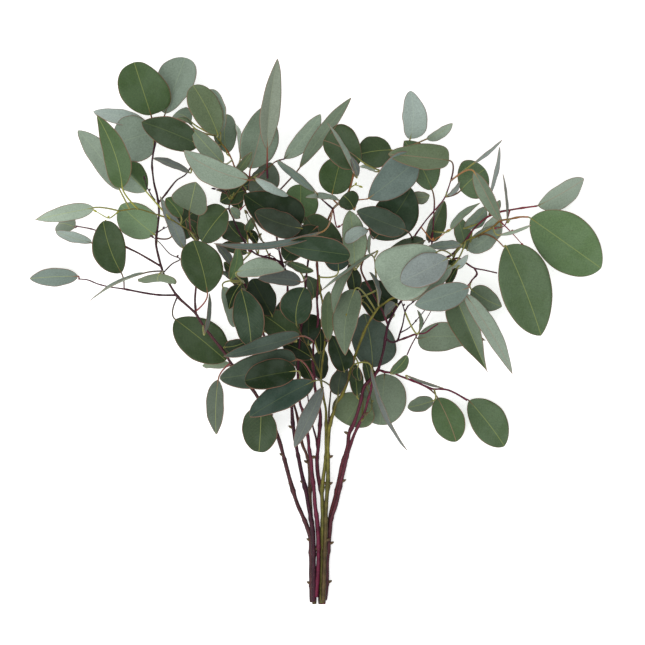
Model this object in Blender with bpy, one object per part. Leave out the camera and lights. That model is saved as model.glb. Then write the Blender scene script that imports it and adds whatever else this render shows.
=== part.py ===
"""A bunch of cut eucalyptus stems, lying down with their cut ends together.

Plan places are millimetres on the drawing of the bunch seen from above: x runs to the right and y runs
from the leafy end down to the cut ends. Heights are millimetres above the surface it lies on.
"""

import bmesh
import bpy
import numpy as np

MM = 0.001

# The drawing is what an eye sees from this height over its middle, so higher places come out larger
EYE_HEIGHT = 2200.0
SHARP_HEIGHT = 70.0
EYE_X = 322.5
EYE_Y = 322.5
ORIGIN_X = 313.0
ORIGIN_Y = 334.0

STEM_FOOT_RADIUS = 2.3
STEM_TIP_RADIUS = 1.15
TWIG_FOOT_RADIUS = 1.15
TWIG_TIP_RADIUS = 0.8
PETIOLE_RADIUS = 0.62
TIP_WIDTH = 0.8
BLADE_THICKNESS = 0.7
MARGIN_LIFT = 0.07
LONGEST_BEND = 20.0
BEND_SHARE = 0.45

# A blade is slender from no to all as its breadth falls from most to least of its length, and a slender
# blade swells and closes by higher powers than a round one
ROUND_BREADTH = 12 / 13
SLENDER_BREADTH = 2 / 13
ROUND_SWELL = 0.5
SLENDER_SWELL = 0.65
ROUND_CLOSE = 0.58
SLENDER_CLOSE = 0.98

MEDIUM_LEAF = 50.0
LONG_LEAF = 84.0
LONG_PETIOLE = 18.0
STRAIGHT_ENOUGH = 0.45
PETIOLE_PIECES = 2
STEM_FINENESS = 1
TWIG_FINENESS = 0
WELD = 0.00001

CELL = 2.0
MAP_SIDE = 660.0
MAP_ROWS = 49
MAP_COLUMNS = 25
MAP_PETIOLE_PIECES = 6
MIDRIB_ROWS = 15
CLEARANCE = 1.7
FOOT_MARGIN = 12.0
ROD_CLEARANCE = 2.9
LIFT_STEP = 1.0

COLOURS = {
    "dark": (0.055, 0.090, 0.050),
    "mid": (0.095, 0.150, 0.085),
    "grey": (0.150, 0.190, 0.150),
}
LEAF_ROUGHNESS = 0.55

# Each rod is a list of (x, y, height). The first of a stem is the stem, and the others fork from it.
# Each leaf is (number, petiole's foot, blade's base, tip, seen width, real width, height of its middle,
# rise from base to tip, side turned up, bow). A leaf that rests comes down until it touches the surface.
RESTING = {13, 10, 58, 76, 78}

FAR_LEFT = {
    "rods": [
        [(311.8, 602, 7.2), (311.5, 565, 8), (311.5, 540, 9), (309.5, 526, 10), (305, 514, 12),
         (300, 503, 14), (292, 482, 18), (285, 457, 22), (277, 435, 27), (268, 417, 32), (257, 396, 38),
         (243, 377, 43), (231, 363, 48), (224, 352, 51), (205, 328, 58), (196, 314, 61), (190, 308, 62),
         (178, 297, 62), (170, 285, 61), (163, 272, 60), (157, 250, 59), (156, 240, 58), (158, 225, 57),
         (159, 210, 56), (157, 195, 56), (154, 183, 56), (152, 165, 57), (153, 155, 58), (155, 140, 62),
         (152, 120, 68)],
        [(196, 314, 61), (195, 300, 65), (196, 286, 69), (197, 265, 72), (198, 240, 75), (190, 231, 76),
         (180, 225, 75), (170, 219, 73), (155, 214, 71), (138, 209, 69), (125, 210, 67), (119, 211, 66)],
        [(160, 267, 60), (140, 254, 57), (126, 247, 54), (110, 238, 51), (95, 230, 49), (76, 226, 46)],
        [(174, 297, 62), (160, 295, 60), (145, 293, 57), (124, 289, 52), (110, 287, 42), (98, 284, 32),
         (88, 280, 24), (79, 279, 18)],
        [(158, 203, 56), (165, 195, 60), (171, 187, 66), (177, 180, 70), (185, 175, 72), (191, 167, 72)],
    ],
    "leaves": [
        (1, (152, 121), (152, 117), (133, 62), 50, 51, 76, 10, 1, 4),
        (2, (155, 140), (165, 114), (184, 57), 40, 44, 58, -10, -1, 5),
        (3, (155, 142), (157, 131), (113, 146), 46, 49, 40, -12, 1, 4),
        (4, (138, 209), (123, 187), (97, 116), 27, 32, 87, 24, -1, 5),
        (5, (130, 209), (120, 188), (79, 131), 24, 29, 79, 10, 1, 3),
        (6, (155, 146), (148, 118), (94, 111), 13, 24, 22, -14, 1, 4),
        (7, (170, 219), (147, 192), (118, 163), 35, 38, 62, -5, 1, 4),
        (9, (119, 211), (94, 210), (30, 220), 18, 24, 60, -16, -1, 5),
        (10, (77, 226), (76, 226), (56, 218), 26, 30, 24, -40, 1, 3),
        (11, (97, 231), (95, 243), (57, 231), 12, 20, 34, -12, 1, 3),
        (12, (124, 289), (124, 273), (104, 221), 34, 37, 68, 6, 1, 4),
        (13, (79, 279), (77, 279), (31, 277), 18, 23, 8, -12, -1, 3),
        (14, (163, 271), (143, 270), (84, 298), 3, 20, 72, -6, 1, 4),
        (15, (163, 272), (161, 274), (157, 284), 42, 43, 40, -34, 1, 3),
        (16, (157, 244), (154, 238), (121, 205), 42, 45, 40, -6, -1, 4),
        (20, (197, 311), (208, 293), (195, 241), 42, 45, 87, 14, 1, 4),
        (21, (172, 288), (174, 318), (228, 360), 42, 46, 30, 0, -1, 5),
        (23, (228, 358), (231, 366), (200, 362), 8, 24, 14, -4, 1, 3),
        (25, (231, 363), (219, 377), (216, 433), 19, 24, 34, -12, 1, 4),
        (30, (262, 405), (261, 407), (259, 452), 34, 37, 12, -8, 1, 3),
        (121, (191, 232), (186, 209), (197, 183), 38, 41, 87, 26, -1, 4),
        (122, (157, 238), (168, 236), (196, 208), 28, 32, 40, -4, 1, 4),
        (124, (197, 262), (183, 247), (161, 195), 14, 20, 62, -6, 1, 5),
        (139, (203, 325), (206, 338), (210, 299), 5, 22, 80, 6, 1, 4),
        (151, (191, 167), (195, 172), (153, 158), 8, 18, 81, 4, 1, 3),
    ],
}

LEFT = {
    "rods": [
        [(314.3, 603, 11.7), (313.8, 565, 13), (313, 535, 14.5), (311, 520, 15.5), (309, 505, 17.5),
         (307, 490, 20), (303, 475, 23), (300, 460, 26), (297, 447, 29), (293, 425, 33), (292, 411, 36),
         (291, 395, 39), (292, 375, 42), (293, 360, 44), (291, 330, 50), (288, 300, 55), (287, 275, 59),
         (283, 265, 61), (279, 250, 64), (276, 232, 67), (275, 215, 72), (272, 198, 77), (268, 182, 83),
         (267, 168, 88)],
        [(284, 268, 60), (280, 262, 63), (270, 258, 66), (258, 255, 69), (250, 249, 71), (241, 236, 74),
         (233, 218, 77), (229, 208, 79), (233, 198, 82), (242, 186, 86), (250, 179, 88), (264, 171, 90),
         (275, 162, 91), (284, 159, 92)],
        [(250, 179, 88), (244, 173, 86), (236, 169, 82), (232, 160, 78), (228, 152, 75), (222, 144, 73),
         (216, 136, 72)],
    ],
    "leaves": [
        (8, (222, 144), (200, 143), (143, 121), 34, 37, 85, 4, -1, 4),
        (31, (267, 169), (267, 153), (277, 57), 20, 25, 94, 18, 1, 6),
        (32, (250, 179), (250, 173), (266, 106), 38, 41, 76, -12, 1, 4),
        (33, (236, 169), (240, 162), (238, 126), 5, 24, 62, -8, 1, 3),
        (35, (242, 186), (250, 196), (274, 158), 30, 34, 66, -8, -1, 4),
        (36, (284, 159), (285, 158), (321, 115), 20, 25, 86, 6, 1, 4),
        (37, (272, 198), (299, 171), (353, 97), 18, 23, 92, 14, -1, 6),
        (104, (279, 250), (285, 245), (349, 255), 24, 32, 97, 4, 1, 4),
        (112, (258, 175), (254, 177), (289, 197), 8, 24, 91, -6, 1, 3),
        (113, (264, 171), (250, 177), (184, 151), 28, 36, 96, -4, 1, 5),
        (114, (217, 137), (219, 135), (192, 86), 30, 33, 86, 12, 1, 4),
        (115, (232, 160), (223, 164), (192, 128), 20, 26, 80, -4, -1, 4),
        (116, (220, 142), (222, 130), (210, 90), 22, 27, 74, 4, -1, 3),
        (117, (230, 156), (228, 155), (226, 115), 26, 30, 62, -10, 1, 3),
        (118, (216, 136), (193, 126), (174, 113), 16, 21, 56, -6, 1, 3),
        (119, (244, 173), (240, 174), (252, 152), 9, 17, 87, 6, 1, 3),
        (120, (230, 210), (228, 212), (203, 243), 30, 34, 82, -8, 1, 4),
        (125, (242, 238), (245, 240), (228, 218), 26, 31, 58, -10, 1, 3),
        (127, (233, 218), (241, 218), (228, 210), 10, 14, 85, 4, 1, 2),
        (128, (248, 246), (250, 234), (256, 213), 9, 16, 80, 6, 1, 3),
        (129, (252, 251), (232, 266), (215, 244), 9, 16, 78, 2, 1, 3),
        (133, (285, 268), (285, 262), (314, 271), 8, 22, 92, 2, 1, 3),
    ],
}

LOW_LEFT = {
    "rods": [
        [(314.3, 604, 2.6), (314, 565, 3.2), (313.2, 535, 4), (311, 515, 6), (310, 495, 8), (310, 480, 10),
         (309, 463, 13), (306, 453, 15), (302, 443, 17), (298, 420, 21), (294, 405, 24), (287, 388, 28),
         (278, 368, 32), (268, 347, 38), (261, 325, 46), (256, 300, 56), (248, 290, 62), (243, 281, 67)],
    ],
    "leaves": [
        (130, (243, 281), (230, 279), (238, 242), 12, 18, 82, 8, 1, 3),
        (131, (244, 283), (236, 272), (284, 270), 20, 26, 94, 6, -1, 3),
        (134, (261, 325), (277, 318), (255, 280), 30, 34, 40, -6, 1, 4),
        (137, (248, 290), (240, 288), (248, 346), 31, 36, 85, -8, 1, 5),
        (138, (243, 281), (223, 288), (238, 328), 14, 22, 72, -6, -1, 4),
        (140, (263, 331), (292, 342), (268, 318), 30, 33, 28, -4, 1, 3),
    ],
}

TALL = {
    "rods": [
        [(319.2, 603, 11.7), (319, 565, 12.2), (318, 535, 13), (317, 520, 14), (315, 505, 16),
         (314, 490, 18), (312, 475, 21), (311, 460, 24), (309, 448, 26), (308, 437, 28), (303, 412, 33),
         (300, 403, 35), (298, 380, 42), (299, 350, 49), (302, 320, 56), (305, 290, 64), (308, 262, 72),
         (311, 240, 78), (306, 229, 81)],
    ],
    "leaves": [
        (100, (306, 229), (303, 224), (243, 192), 46, 49, 82, 8, 1, 5),
        (101, (307, 231), (301, 227), (255, 212), 24, 30, 93, 4, 1, 4),
        (103, (306, 229), (308, 220), (346, 250), 36, 40, 78, -4, 1, 4),
        (107, (309, 236), (316, 229), (291, 257), 34, 37, 85, 2, 1, 4),
        (102, (308, 233), (300, 225), (300, 185), 33, 35, 64, -8, 1, 3),
        (132, (306, 278), (299, 281), (258, 277), 15, 22, 88, 2, 1, 4),
        (136, (305, 290), (310, 300), (308, 272), 15, 22, 44, -6, 1, 3),
        (28, (299, 385), (295, 379), (247, 380), 26, 30, 54, -8, 1, 3),
    ],
}

MIDDLE = {
    "rods": [
        [(319.2, 604, 2.6), (319.8, 565, 3), (321.5, 535, 4), (323.5, 515, 5.5), (323, 505, 7),
         (321, 490, 9), (318, 475, 11.5), (317, 460, 14), (318, 450, 16), (319, 437, 18), (320, 425, 20),
         (320, 411, 23), (315, 388, 30), (314, 375, 33), (313, 360, 37), (314, 338, 43), (318, 322, 48),
         (317, 300, 54), (318, 280, 60), (317, 260, 66), (320, 240, 72), (327, 222, 78), (333, 209, 82),
         (338, 204, 84), (343, 199, 86), (347, 194, 88), (350, 188, 90), (354, 173, 94)],
        [(318, 452, 15.5), (316, 438, 19), (313, 427, 22), (310, 412, 25), (308, 398, 29), (307, 386, 33)],
        [(342, 200, 85), (350, 201, 86), (358, 200, 87), (366, 199, 88)],
        [(333, 209, 82), (326, 203, 84), (319, 197, 86)],
    ],
    "leaves": [
        (26, (314, 342), (299, 337), (224, 356), 15, 25, 85, -8, 1, 4),
        (27, (314.6, 381), (293, 358), (222, 380), 32, 38, 70, -10, 1, 4),
        (38, (354, 174), (354, 170), (329, 124), 8, 24, 103, 6, 1, 4),
        (42, (338, 204), (333, 193), (344, 156), 34, 35, 74, -6, 1, 4),
        (43, (366, 199), (367, 199), (418, 165), 36, 39, 93, 6, 1, 4),
        (106, (332, 211), (321, 233), (215, 244), 7, 22, 104, 0, 1, 5),
        (109, (356, 200), (356, 209), (340, 192), 20, 24, 88, 4, 1, 2),
        (110, (334, 208), (341, 198), (304, 195), 7, 22, 87, 2, 1, 3),
        (111, (319, 197), (318, 195), (278, 165), 8, 22, 88, 2, -1, 4),
        (149, (314, 375), (322, 380), (323, 350), 18, 23, 14, -4, 1, 3),
        (141, (314, 340), (310, 345), (309, 313), 22, 27, 24, -4, 1, 3),
    ],
}

SLIM = {
    "rods": [
        [(321.6, 603, 7.2), (321.7, 565, 8), (322.3, 535, 9.3), (322.8, 520, 10.8), (322, 495, 15),
         (323, 480, 18), (325, 465, 21), (326, 450, 24), (326, 430, 28), (326, 411, 34), (324, 400, 37),
         (322, 388, 41), (321, 378, 44), (322, 365, 48), (324, 350, 52), (325, 340, 54), (325, 325, 59),
         (323, 310, 63), (322, 300, 66), (320, 290, 69), (319, 275, 74)],
        [(321, 376, 44), (315, 363, 49), (309, 350, 56), (303, 338, 61), (298, 328, 65)],
    ],
    "leaves": [
        (108, (319, 277), (339, 275), (332, 236), 32, 35, 80, 4, 1, 4),
        (135, (298, 328), (297, 327), (305, 286), 34, 37, 79, 4, 1, 4),
        (142, (325, 340), (328, 341), (330, 290), 16, 25, 76, 2, 1, 3),
        (148, (322, 388), (321, 391), (297, 442), 14, 20, 66, -12, 1, 4),
    ],
}

RIGHT = {
    "rods": [
        [(324.1, 602, 11.7), (324.6, 565, 12.5), (325.6, 535, 14), (326, 510, 16.5), (327, 495, 18.5),
         (328, 480, 21), (328, 460, 25), (328, 445, 30), (329, 430, 35), (331, 420, 37), (334, 411, 39),
         (336, 403, 40), (341, 397, 41), (345, 388, 43), (349, 375, 46), (352, 365, 49), (358, 348, 54),
         (365, 330, 59), (369, 322, 61), (374, 314, 64), (379, 307, 66), (385, 303, 68), (393, 298, 70),
         (408, 296, 71), (422, 290, 71), (436, 280, 70), (446, 270, 70), (452, 261, 70), (455, 254, 71),
         (458, 248, 73), (466, 241, 75), (475, 237, 75), (484, 232, 74), (493, 227, 72), (500, 221, 70),
         (510, 219, 67), (520, 217, 63), (528, 217, 60)],
        [(329, 430, 35), (329, 411, 41), (330, 400, 43), (331, 390, 45), (333, 382, 47), (337, 372, 49),
         (340, 362, 51), (344, 355, 53)],
        [(379, 307, 66), (378, 300, 69), (377, 290, 72), (376, 275, 76), (374, 258, 81), (368, 255, 83),
         (359, 260, 84)],
        [(475, 237, 75), (484, 234, 75), (491, 236, 76), (497, 240, 77), (504, 247, 78)],
        [(452, 261, 70), (458, 258, 70), (466, 263, 68), (474, 268, 66), (484, 270, 63), (497, 273, 60)],
        [(474, 268, 66), (477, 274, 67), (472, 280, 69), (468, 286, 71)],
    ],
    "leaves": [
        (29, (331, 387), (314, 380), (253, 418), 26, 32, 76, -12, 1, 4),
        (53, (510, 219), (507, 220), (503, 174), 3, 22, 81, 4, 1, 4),
        (57, (478, 236), (480, 238), (499, 212), 20, 26, 48, -6, 1, 3),
        (59, (528, 217), (530, 218), (600, 268), 52, 53, 46, -18, 1, 4),
        (60, (504, 247), (504, 248), (539, 335), 52, 53, 75, -8, -1, 5),
        (61, (493, 227), (500, 233), (530, 226), 3, 18, 85, 2, 1, 3),
        (62, (500, 221), (499, 226), (468, 251), 22, 26, 50, -8, 1, 3),
        (63, (454, 257), (434, 252), (381, 281), 54, 55, 86, 2, 1, 4),
        (64, (452, 261), (448, 259), (400, 280), 32, 37, 97, 2, 1, 4),
        (65, (455, 254), (458, 243), (420, 247), 9, 19, 79, 2, 1, 3),
        (66, (468, 286), (468, 287), (414, 303), 26, 31, 88, 4, -1, 4),
        (67, (450, 266), (446, 271), (469, 256), 9, 16, 84, 2, 1, 2),
        (68, (472, 280), (470, 290), (503, 307), 26, 29, 44, -8, 1, 3),
        (69, (469, 284), (467, 292), (512, 374), 17, 23, 84, -14, -1, 5),
        (70, (434, 281), (448, 303), (488, 372), 22, 28, 62, -10, 1, 4),
        (77, (352, 365), (370, 371), (407, 452), 4, 22, 72, -10, 1, 6),
        (83, (379, 306), (377, 303), (370, 267), 4, 22, 88, 4, 1, 3),
        (88, (360, 259), (357, 266), (332, 314), 10, 19, 94, -8, 1, 4),
        (89, (364, 257), (355, 262), (350, 209), 28, 32, 87, 6, 1, 4),
        (143, (376, 311), (359, 301), (346, 355), 27, 30, 84, -10, 1, 4),
        (144, (341, 360), (340, 365), (332, 334), 22, 27, 64, 2, 1, 3),
        (145, (335, 406), (342, 398), (345, 356), 20, 26, 26, -6, 1, 3),
        (147, (355, 357), (361, 361), (359, 384), 10, 15, 60, -4, 1, 2),
    ],
}

FAR_RIGHT = {
    "rods": [
        [(324.1, 604, 2.6), (325, 565, 3.4), (327.5, 535, 5), (330, 518, 6.5), (333, 505, 8),
         (337, 490, 10), (340, 475, 13), (342, 465, 15), (345, 455, 17), (348, 445, 20), (349, 434, 23),
         (354, 423, 26), (358, 411, 30), (361, 400, 33), (363, 390, 35), (366, 384, 36), (371, 379, 37),
         (375, 374, 39), (378, 370, 40), (381, 360, 42), (384, 348, 45), (386, 335, 48), (388, 325, 50),
         (391, 318, 52), (396, 308, 54), (402, 300, 56), (410, 288, 58), (420, 276, 60), (432, 266, 61),
         (443, 259, 62), (452, 254.5, 63), (460, 246, 64), (466, 240, 65), (472, 231, 65), (482, 221, 65),
         (491, 215, 64), (499, 212, 63), (510, 210, 60), (522, 208, 56), (537, 206, 48)],
        [(388, 325, 50), (383, 312, 52), (378, 303, 53), (372, 292, 54), (366, 281, 55), (361, 269, 56),
         (364, 258, 58), (367, 246, 61), (371, 236, 65), (376, 218, 71), (380, 200, 77), (382, 185, 82),
         (384, 172, 87), (390, 160, 91), (396, 151, 94)],
        [(410, 288, 58), (408, 275, 61), (408, 260, 65), (411, 248, 69), (413, 240, 72), (416, 234, 74),
         (421, 227, 76), (427, 219, 79), (434, 211, 82), (440, 204, 84), (444, 199, 86), (447, 192, 88),
         (451, 180, 91)],
        [(432, 266, 61), (432, 252, 66), (432, 240, 70), (433, 230, 73), (434, 211, 81)],
        [(386, 338, 47), (391, 342, 48), (397, 341, 50), (400, 333, 53), (403, 323, 56), (405, 312, 59),
         (408, 306, 61)],
        [(397, 341, 50), (408, 337, 52), (416, 334, 54), (425, 333, 56), (432, 328, 58), (438, 324, 60)],
    ],
    "leaves": [
        (39, (384, 172), (362, 160), (324, 141), 44, 45, 96, 4, 1, 4),
        (40, (390, 160), (393, 149), (361, 156), 28, 32, 86, 4, 1, 3),
        (41, (384, 170), (379, 166), (357, 168), 6, 20, 80, 0, 1, 3),
        (44, (451, 180), (446, 163), (389, 155), 28, 34, 100, 4, 1, 4),
        (46, (434, 211), (431, 190), (408, 142), 32, 35, 87, 4, 1, 4),
        (47, (395, 153), (408, 136), (411, 92), 25, 30, 93, 12, 1, 4),
        (48, (395, 153), (427, 139), (452, 125), 10, 18, 90, 2, 1, 3),
        (49, (451, 181), (479, 162), (503, 141), 3, 20, 88, 2, 1, 3),
        (50, (445, 197), (459, 191), (484, 167), 40, 41, 81, 2, 1, 4),
        (51, (451, 181), (470, 177), (499, 221), 15, 22, 96, -12, 1, 6),
        (52, (491, 215), (493, 197), (500, 148), 5, 24, 85, 10, 1, 4),
        (54, (433, 231), (451, 229), (482, 201), 8, 20, 87, 4, -1, 3),
        (55, (472, 231), (470, 243), (458, 213), 20, 28, 40, -6, 1, 3),
        (56, (480, 223), (464, 227), (487, 205), 16, 22, 80, 6, 1, 3),
        (58, (537, 206), (539, 205), (583, 180), 24, 29, 24, -40, 1, 4),
        (71, (416, 334), (418, 340), (489, 338), 30, 35, 34, -8, 1, 4),
        (80, (376, 373), (371, 369), (362, 312), 44, 47, 20, -4, 1, 4),
        (81, (391, 318), (395, 312), (360, 280), 34, 39, 26, -4, 1, 4),
        (82, (398, 306), (400, 302), (382, 312), 8, 22, 34, -4, 1, 2),
        (91, (370, 238), (369, 228), (347, 240), 13, 20, 93, 2, 1, 3),
        (93, (413, 240), (405, 228), (357, 210), 22, 30, 97, 4, 1, 4),
        (95, (371, 236), (373, 240), (413, 188), 44, 47, 84, 2, 1, 4),
        (96, (380, 200), (408, 196), (430, 196), 13, 19, 80, 0, 1, 2),
        (97, (433, 231), (431, 240), (445, 203), 20, 29, 86, 4, 1, 4),
        (98, (412, 243), (424, 240), (386, 245), 14, 27, 78, 0, 1, 3),
        (150, (405, 312), (418, 330), (424, 308), 10, 16, 66, 2, 1, 2),
    ],
}

LOW_RIGHT = {
    "rods": [
        [(326.5, 602, 7.2), (327.4, 565, 8.2), (329.5, 535, 9.8), (331, 520, 11.4), (335, 508, 13),
         (338, 497, 15), (341, 482, 17.5), (344, 470, 21), (347, 457, 25), (350, 447, 28),
         (354, 435, 32), (360, 422, 37), (365, 411, 41), (368, 400, 44), (371, 390, 46), (372, 383, 48),
         (378, 371, 50), (385, 372, 50), (393, 373, 48), (400, 376, 46), (408, 379, 43), (416, 382, 40),
         (425, 386, 37), (433, 389, 33), (441, 389, 29), (448, 390, 26), (455, 393, 22), (462, 397, 18),
         (467, 400, 15)],
    ],
    "leaves": [
        (72, (395, 374), (395, 374), (409, 357), 10, 15, 62, 4, 1, 2),
        (73, (408, 379), (411, 380), (448, 387), 3, 18, 56, 0, 1, 3),
        (74, (434, 389), (432, 398), (407, 406), 14, 19, 44, -4, 1, 3),
        (75, (421, 384), (437, 398), (454, 442), 34, 37, 16, -14, 1, 4),
        (76, (466, 399), (467, 401), (503, 446), 38, 39, 6, -10, -1, 4),
        (78, (384, 372), (384, 374), (380, 424), 54, 55, 5, -6, 1, 2),
        (79, (362, 417), (362, 394), (345, 424), 44, 45, 9, 0, 1, 2),
    ],
}

STEMS = {
    "stem_far_left": (FAR_LEFT, "mid"),
    "stem_left": (LEFT, "mid"),
    "stem_low_left": (LOW_LEFT, "dark"),
    "stem_tall": (TALL, "dark"),
    "stem_middle": (MIDDLE, "grey"),
    "stem_slim": (SLIM, "dark"),
    "stem_right": (RIGHT, "mid"),
    "stem_far_right": (FAR_RIGHT, "grey"),
    "stem_low_right": (LOW_RIGHT, "mid"),
}


def clear_scene():
    """Remove whatever the file starts with."""
    for thing in list(bpy.data.objects):
        bpy.data.objects.remove(thing)


def placed(points):
    """Turn drawing places with heights into true places, along the eye's lines of sight."""
    x, y, height = np.asarray(points, float).T
    near = 1 - (height - SHARP_HEIGHT) / EYE_HEIGHT
    to_the_right = (x - EYE_X) * near + EYE_X - ORIGIN_X
    up_the_drawing = (EYE_Y - y) * near + ORIGIN_Y - EYE_Y
    return np.stack([to_the_right, up_the_drawing, height], -1)


def unit(vector):
    """A vector's direction."""
    return vector / np.linalg.norm(vector)


def blade_points(leaf, lift, rows, columns):
    """Places on a blade's middle surface, rows from base to tip and columns from margin to margin.

    The half width swells and closes as a power of the way from the base times a power of the way to
    the tip, the midrib bows as a parabola, and the margins rise as the square of the way out.
    """
    _, _, base, tip, seen, broad, level, rise, side, bow = leaf
    ends = placed([(*base, level - rise / 2 + lift), (*tip, level + rise / 2 + lift)])
    along = ends[1] - ends[0]
    length = np.linalg.norm(along)
    along = along / length
    level_side = unit(np.cross(along, (0, 0, 1)))
    turn = side * np.arccos(min(seen / broad, 1.0))
    across = level_side * np.cos(turn) + np.cross(along, level_side) * np.sin(turn)
    face = np.cross(across, along)
    slender = (ROUND_BREADTH - broad / length) / (ROUND_BREADTH - SLENDER_BREADTH)
    slender = np.clip(slender, 0, 1)
    swell = ROUND_SWELL + (SLENDER_SWELL - ROUND_SWELL) * slender
    close = ROUND_CLOSE + (SLENDER_CLOSE - ROUND_CLOSE) * slender
    widest = swell / (swell + close)
    way = np.linspace(0, 1, rows)[:, None]
    out = np.linspace(-1, 1, columns)[None, :]
    shape = (way / widest) ** swell * ((1 - way) / (1 - widest)) ** close
    half = broad / 2 * shape * out
    high = bow * 4 * way * (1 - way) + MARGIN_LIFT * broad * shape * out**2
    return (
        ends[0]
        + along * (way * length + 0 * out)[..., None]
        + across * half[..., None]
        + face * high[..., None]
    )


def nearest_on_rods(rods, place):
    """The place on a stem's rods that is nearest to a drawing place, as (x, y, height)."""
    best = None
    for rod in rods:
        points = np.asarray(rod, float)
        starts = points[:-1]
        steps = points[1:] - starts
        part = ((place - starts[:, :2]) * steps[:, :2]).sum(1) / (steps[:, :2] ** 2).sum(1)
        spots = starts + steps * np.clip(part, 0, 1)[:, None]
        gaps = np.linalg.norm(spots[:, :2] - place, axis=1)
        nearest = gaps.argmin()
        if best is None or gaps[nearest] < best[0]:
            best = (gaps[nearest], spots[nearest])
    return best[1]


def forked(rods):
    """A stem's rods, each twig beginning on the rods before it."""
    grown = [rods[0]]
    for rod in rods[1:]:
        start = nearest_on_rods(grown, np.asarray(rod[0][:2], float))
        grown.append([tuple(start), *rod[1:]])
    return grown


def petiole_path(rods, leaf, lift, pieces):
    """A petiole's places: a curve from the middle of the twig that comes in along the blade's midrib."""
    foot = placed([nearest_on_rods(rods, np.asarray(leaf[1], float))])[0]
    middle = blade_points(leaf, lift, MIDRIB_ROWS, 3)[:, 1]
    base = middle[0]
    reach = min(np.linalg.norm(base[:2] - foot[:2]), LONGEST_BEND)
    inward = unit(middle[1] - base)
    bend = base - inward * reach * BEND_SHARE
    way = np.linspace(0, 1, pieces + 1)[:, None]
    return foot * (1 - way) ** 2 + 2 * bend * way * (1 - way) + base * way**2


def cells(points):
    """The column and row of the height map's cell under each place, and the place's height."""
    flat = points.reshape(-1, 3)
    column = np.floor((flat[:, 0] + MAP_SIDE / 2) / CELL).astype(int)
    row = np.floor((flat[:, 1] + MAP_SIDE / 2) / CELL).astype(int)
    return column, row, flat[:, 2]


def height_maps(points):
    """The lowest and highest place over each cell, spread to the cells beside it."""
    count = int(MAP_SIDE / CELL)
    low = np.full((count, count), np.inf)
    high = np.full((count, count), -np.inf)
    column, row, height = cells(points)
    for step_x in (-1, 0, 1):
        for step_y in (-1, 0, 1):
            np.minimum.at(low, (column + step_x, row + step_y), height)
            np.maximum.at(high, (column + step_x, row + step_y), height)
    return low, high


def walk(points, spacing=1.0):
    """Places along a path, about a millimetre apart."""
    pieces = []
    for start, end in zip(points[:-1], points[1:]):
        count = max(int(np.linalg.norm(end - start) / spacing), 1)
        pieces.append(start + (end - start) * (np.arange(count) / count)[:, None])
    return np.vstack(pieces + [points[-1:]])


def clear_of_rods(rods, foot, low, high, lift):
    """Raise a lift by steps until no rod, away from the leaf's own foot, runs through the blade."""
    column, row, height = cells(rods)
    over = np.isfinite(low[column, row]) & (np.hypot(*(rods[:, :2] - foot[:2]).T) > FOOT_MARGIN)
    below = height[over] - low[column, row][over] + ROD_CLEARANCE
    above = height[over] - high[column, row][over] - ROD_CLEARANCE
    while np.any((below > lift) & (above < lift)):
        lift += LIFT_STEP
    return lift


def settle():
    """Lift each leaf, lowest first, until it is clear of every stem, twig, petiole and lower leaf."""
    jobs = [(leaf, parts) for parts, _ in STEMS.values() for leaf in parts["leaves"]]
    jobs.sort(key=lambda job: job[0][6])
    rods = [walk(placed(rod)) for parts, _ in STEMS.values() for rod in forked(parts["rods"])]
    rods = np.vstack(rods)
    ceiling = np.full((int(MAP_SIDE / CELL),) * 2, -np.inf)
    lifts = {}
    for leaf, parts in jobs:
        points = blade_points(leaf, 0, MAP_ROWS, MAP_COLUMNS)
        low, high = height_maps(points)
        if leaf[0] in RESTING:
            lift = BLADE_THICKNESS / 2 - points[..., 2].min()
        else:
            lift = max(0, (ceiling + CLEARANCE - low).max())
            foot = placed([nearest_on_rods(parts["rods"], np.asarray(leaf[1], float))])[0]
            lift = clear_of_rods(rods, foot, low, high, lift)
        lifts[leaf[0]] = lift
        ceiling = np.maximum(ceiling, high + lift)
        stalk = petiole_path(parts["rods"], leaf, lift, MAP_PETIOLE_PIECES)
        rods = np.vstack([rods, walk(stalk)])
    return lifts


def thinned(points):
    """A rod's places without those that lie almost on the line between their neighbours."""
    kept = [points[0]]
    for place, after in zip(points[1:-1], points[2:]):
        line = unit(after - kept[-1])
        if np.linalg.norm(np.cross(place - kept[-1], line)) > STRAIGHT_ENOUGH:
            kept.append(place)
    return np.array(kept + [points[-1]])


def rod_curve(name, points, radii, fineness):
    """A round rod as a bevelled curve with filled caps."""
    data = bpy.data.curves.new(name, "CURVE")
    data.dimensions = "3D"
    data.bevel_depth = MM
    data.bevel_resolution = fineness
    data.use_fill_caps = True
    spline = data.splines.new("POLY")
    spline.points.add(len(points) - 1)
    for spot, point, radius in zip(spline.points, points * MM, radii):
        spot.co = (*point, 1)
        spot.radius = radius
    curve = bpy.data.objects.new(name, data)
    bpy.context.scene.collection.objects.link(curve)
    return curve


def as_mesh(curve):
    """The curve's own shape as a mesh with its caps welded; the curve is removed."""
    graph = bpy.context.evaluated_depsgraph_get()
    mesh = bpy.data.meshes.new_from_object(curve.evaluated_get(graph))
    shape = bmesh.new()
    shape.from_mesh(mesh)
    bmesh.ops.remove_doubles(shape, verts=shape.verts, dist=WELD)
    shape.to_mesh(mesh)
    shape.free()
    name = curve.name
    bpy.data.objects.remove(curve)
    return bpy.data.objects.new(name, mesh)


def blade_rows(leaf):
    """How many rows of faces a blade has: more on a longer one."""
    length = np.hypot(leaf[3][0] - leaf[2][0], leaf[3][1] - leaf[2][1])
    return 3 + int(length > MEDIUM_LEAF) + int(length > LONG_LEAF)


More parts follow.
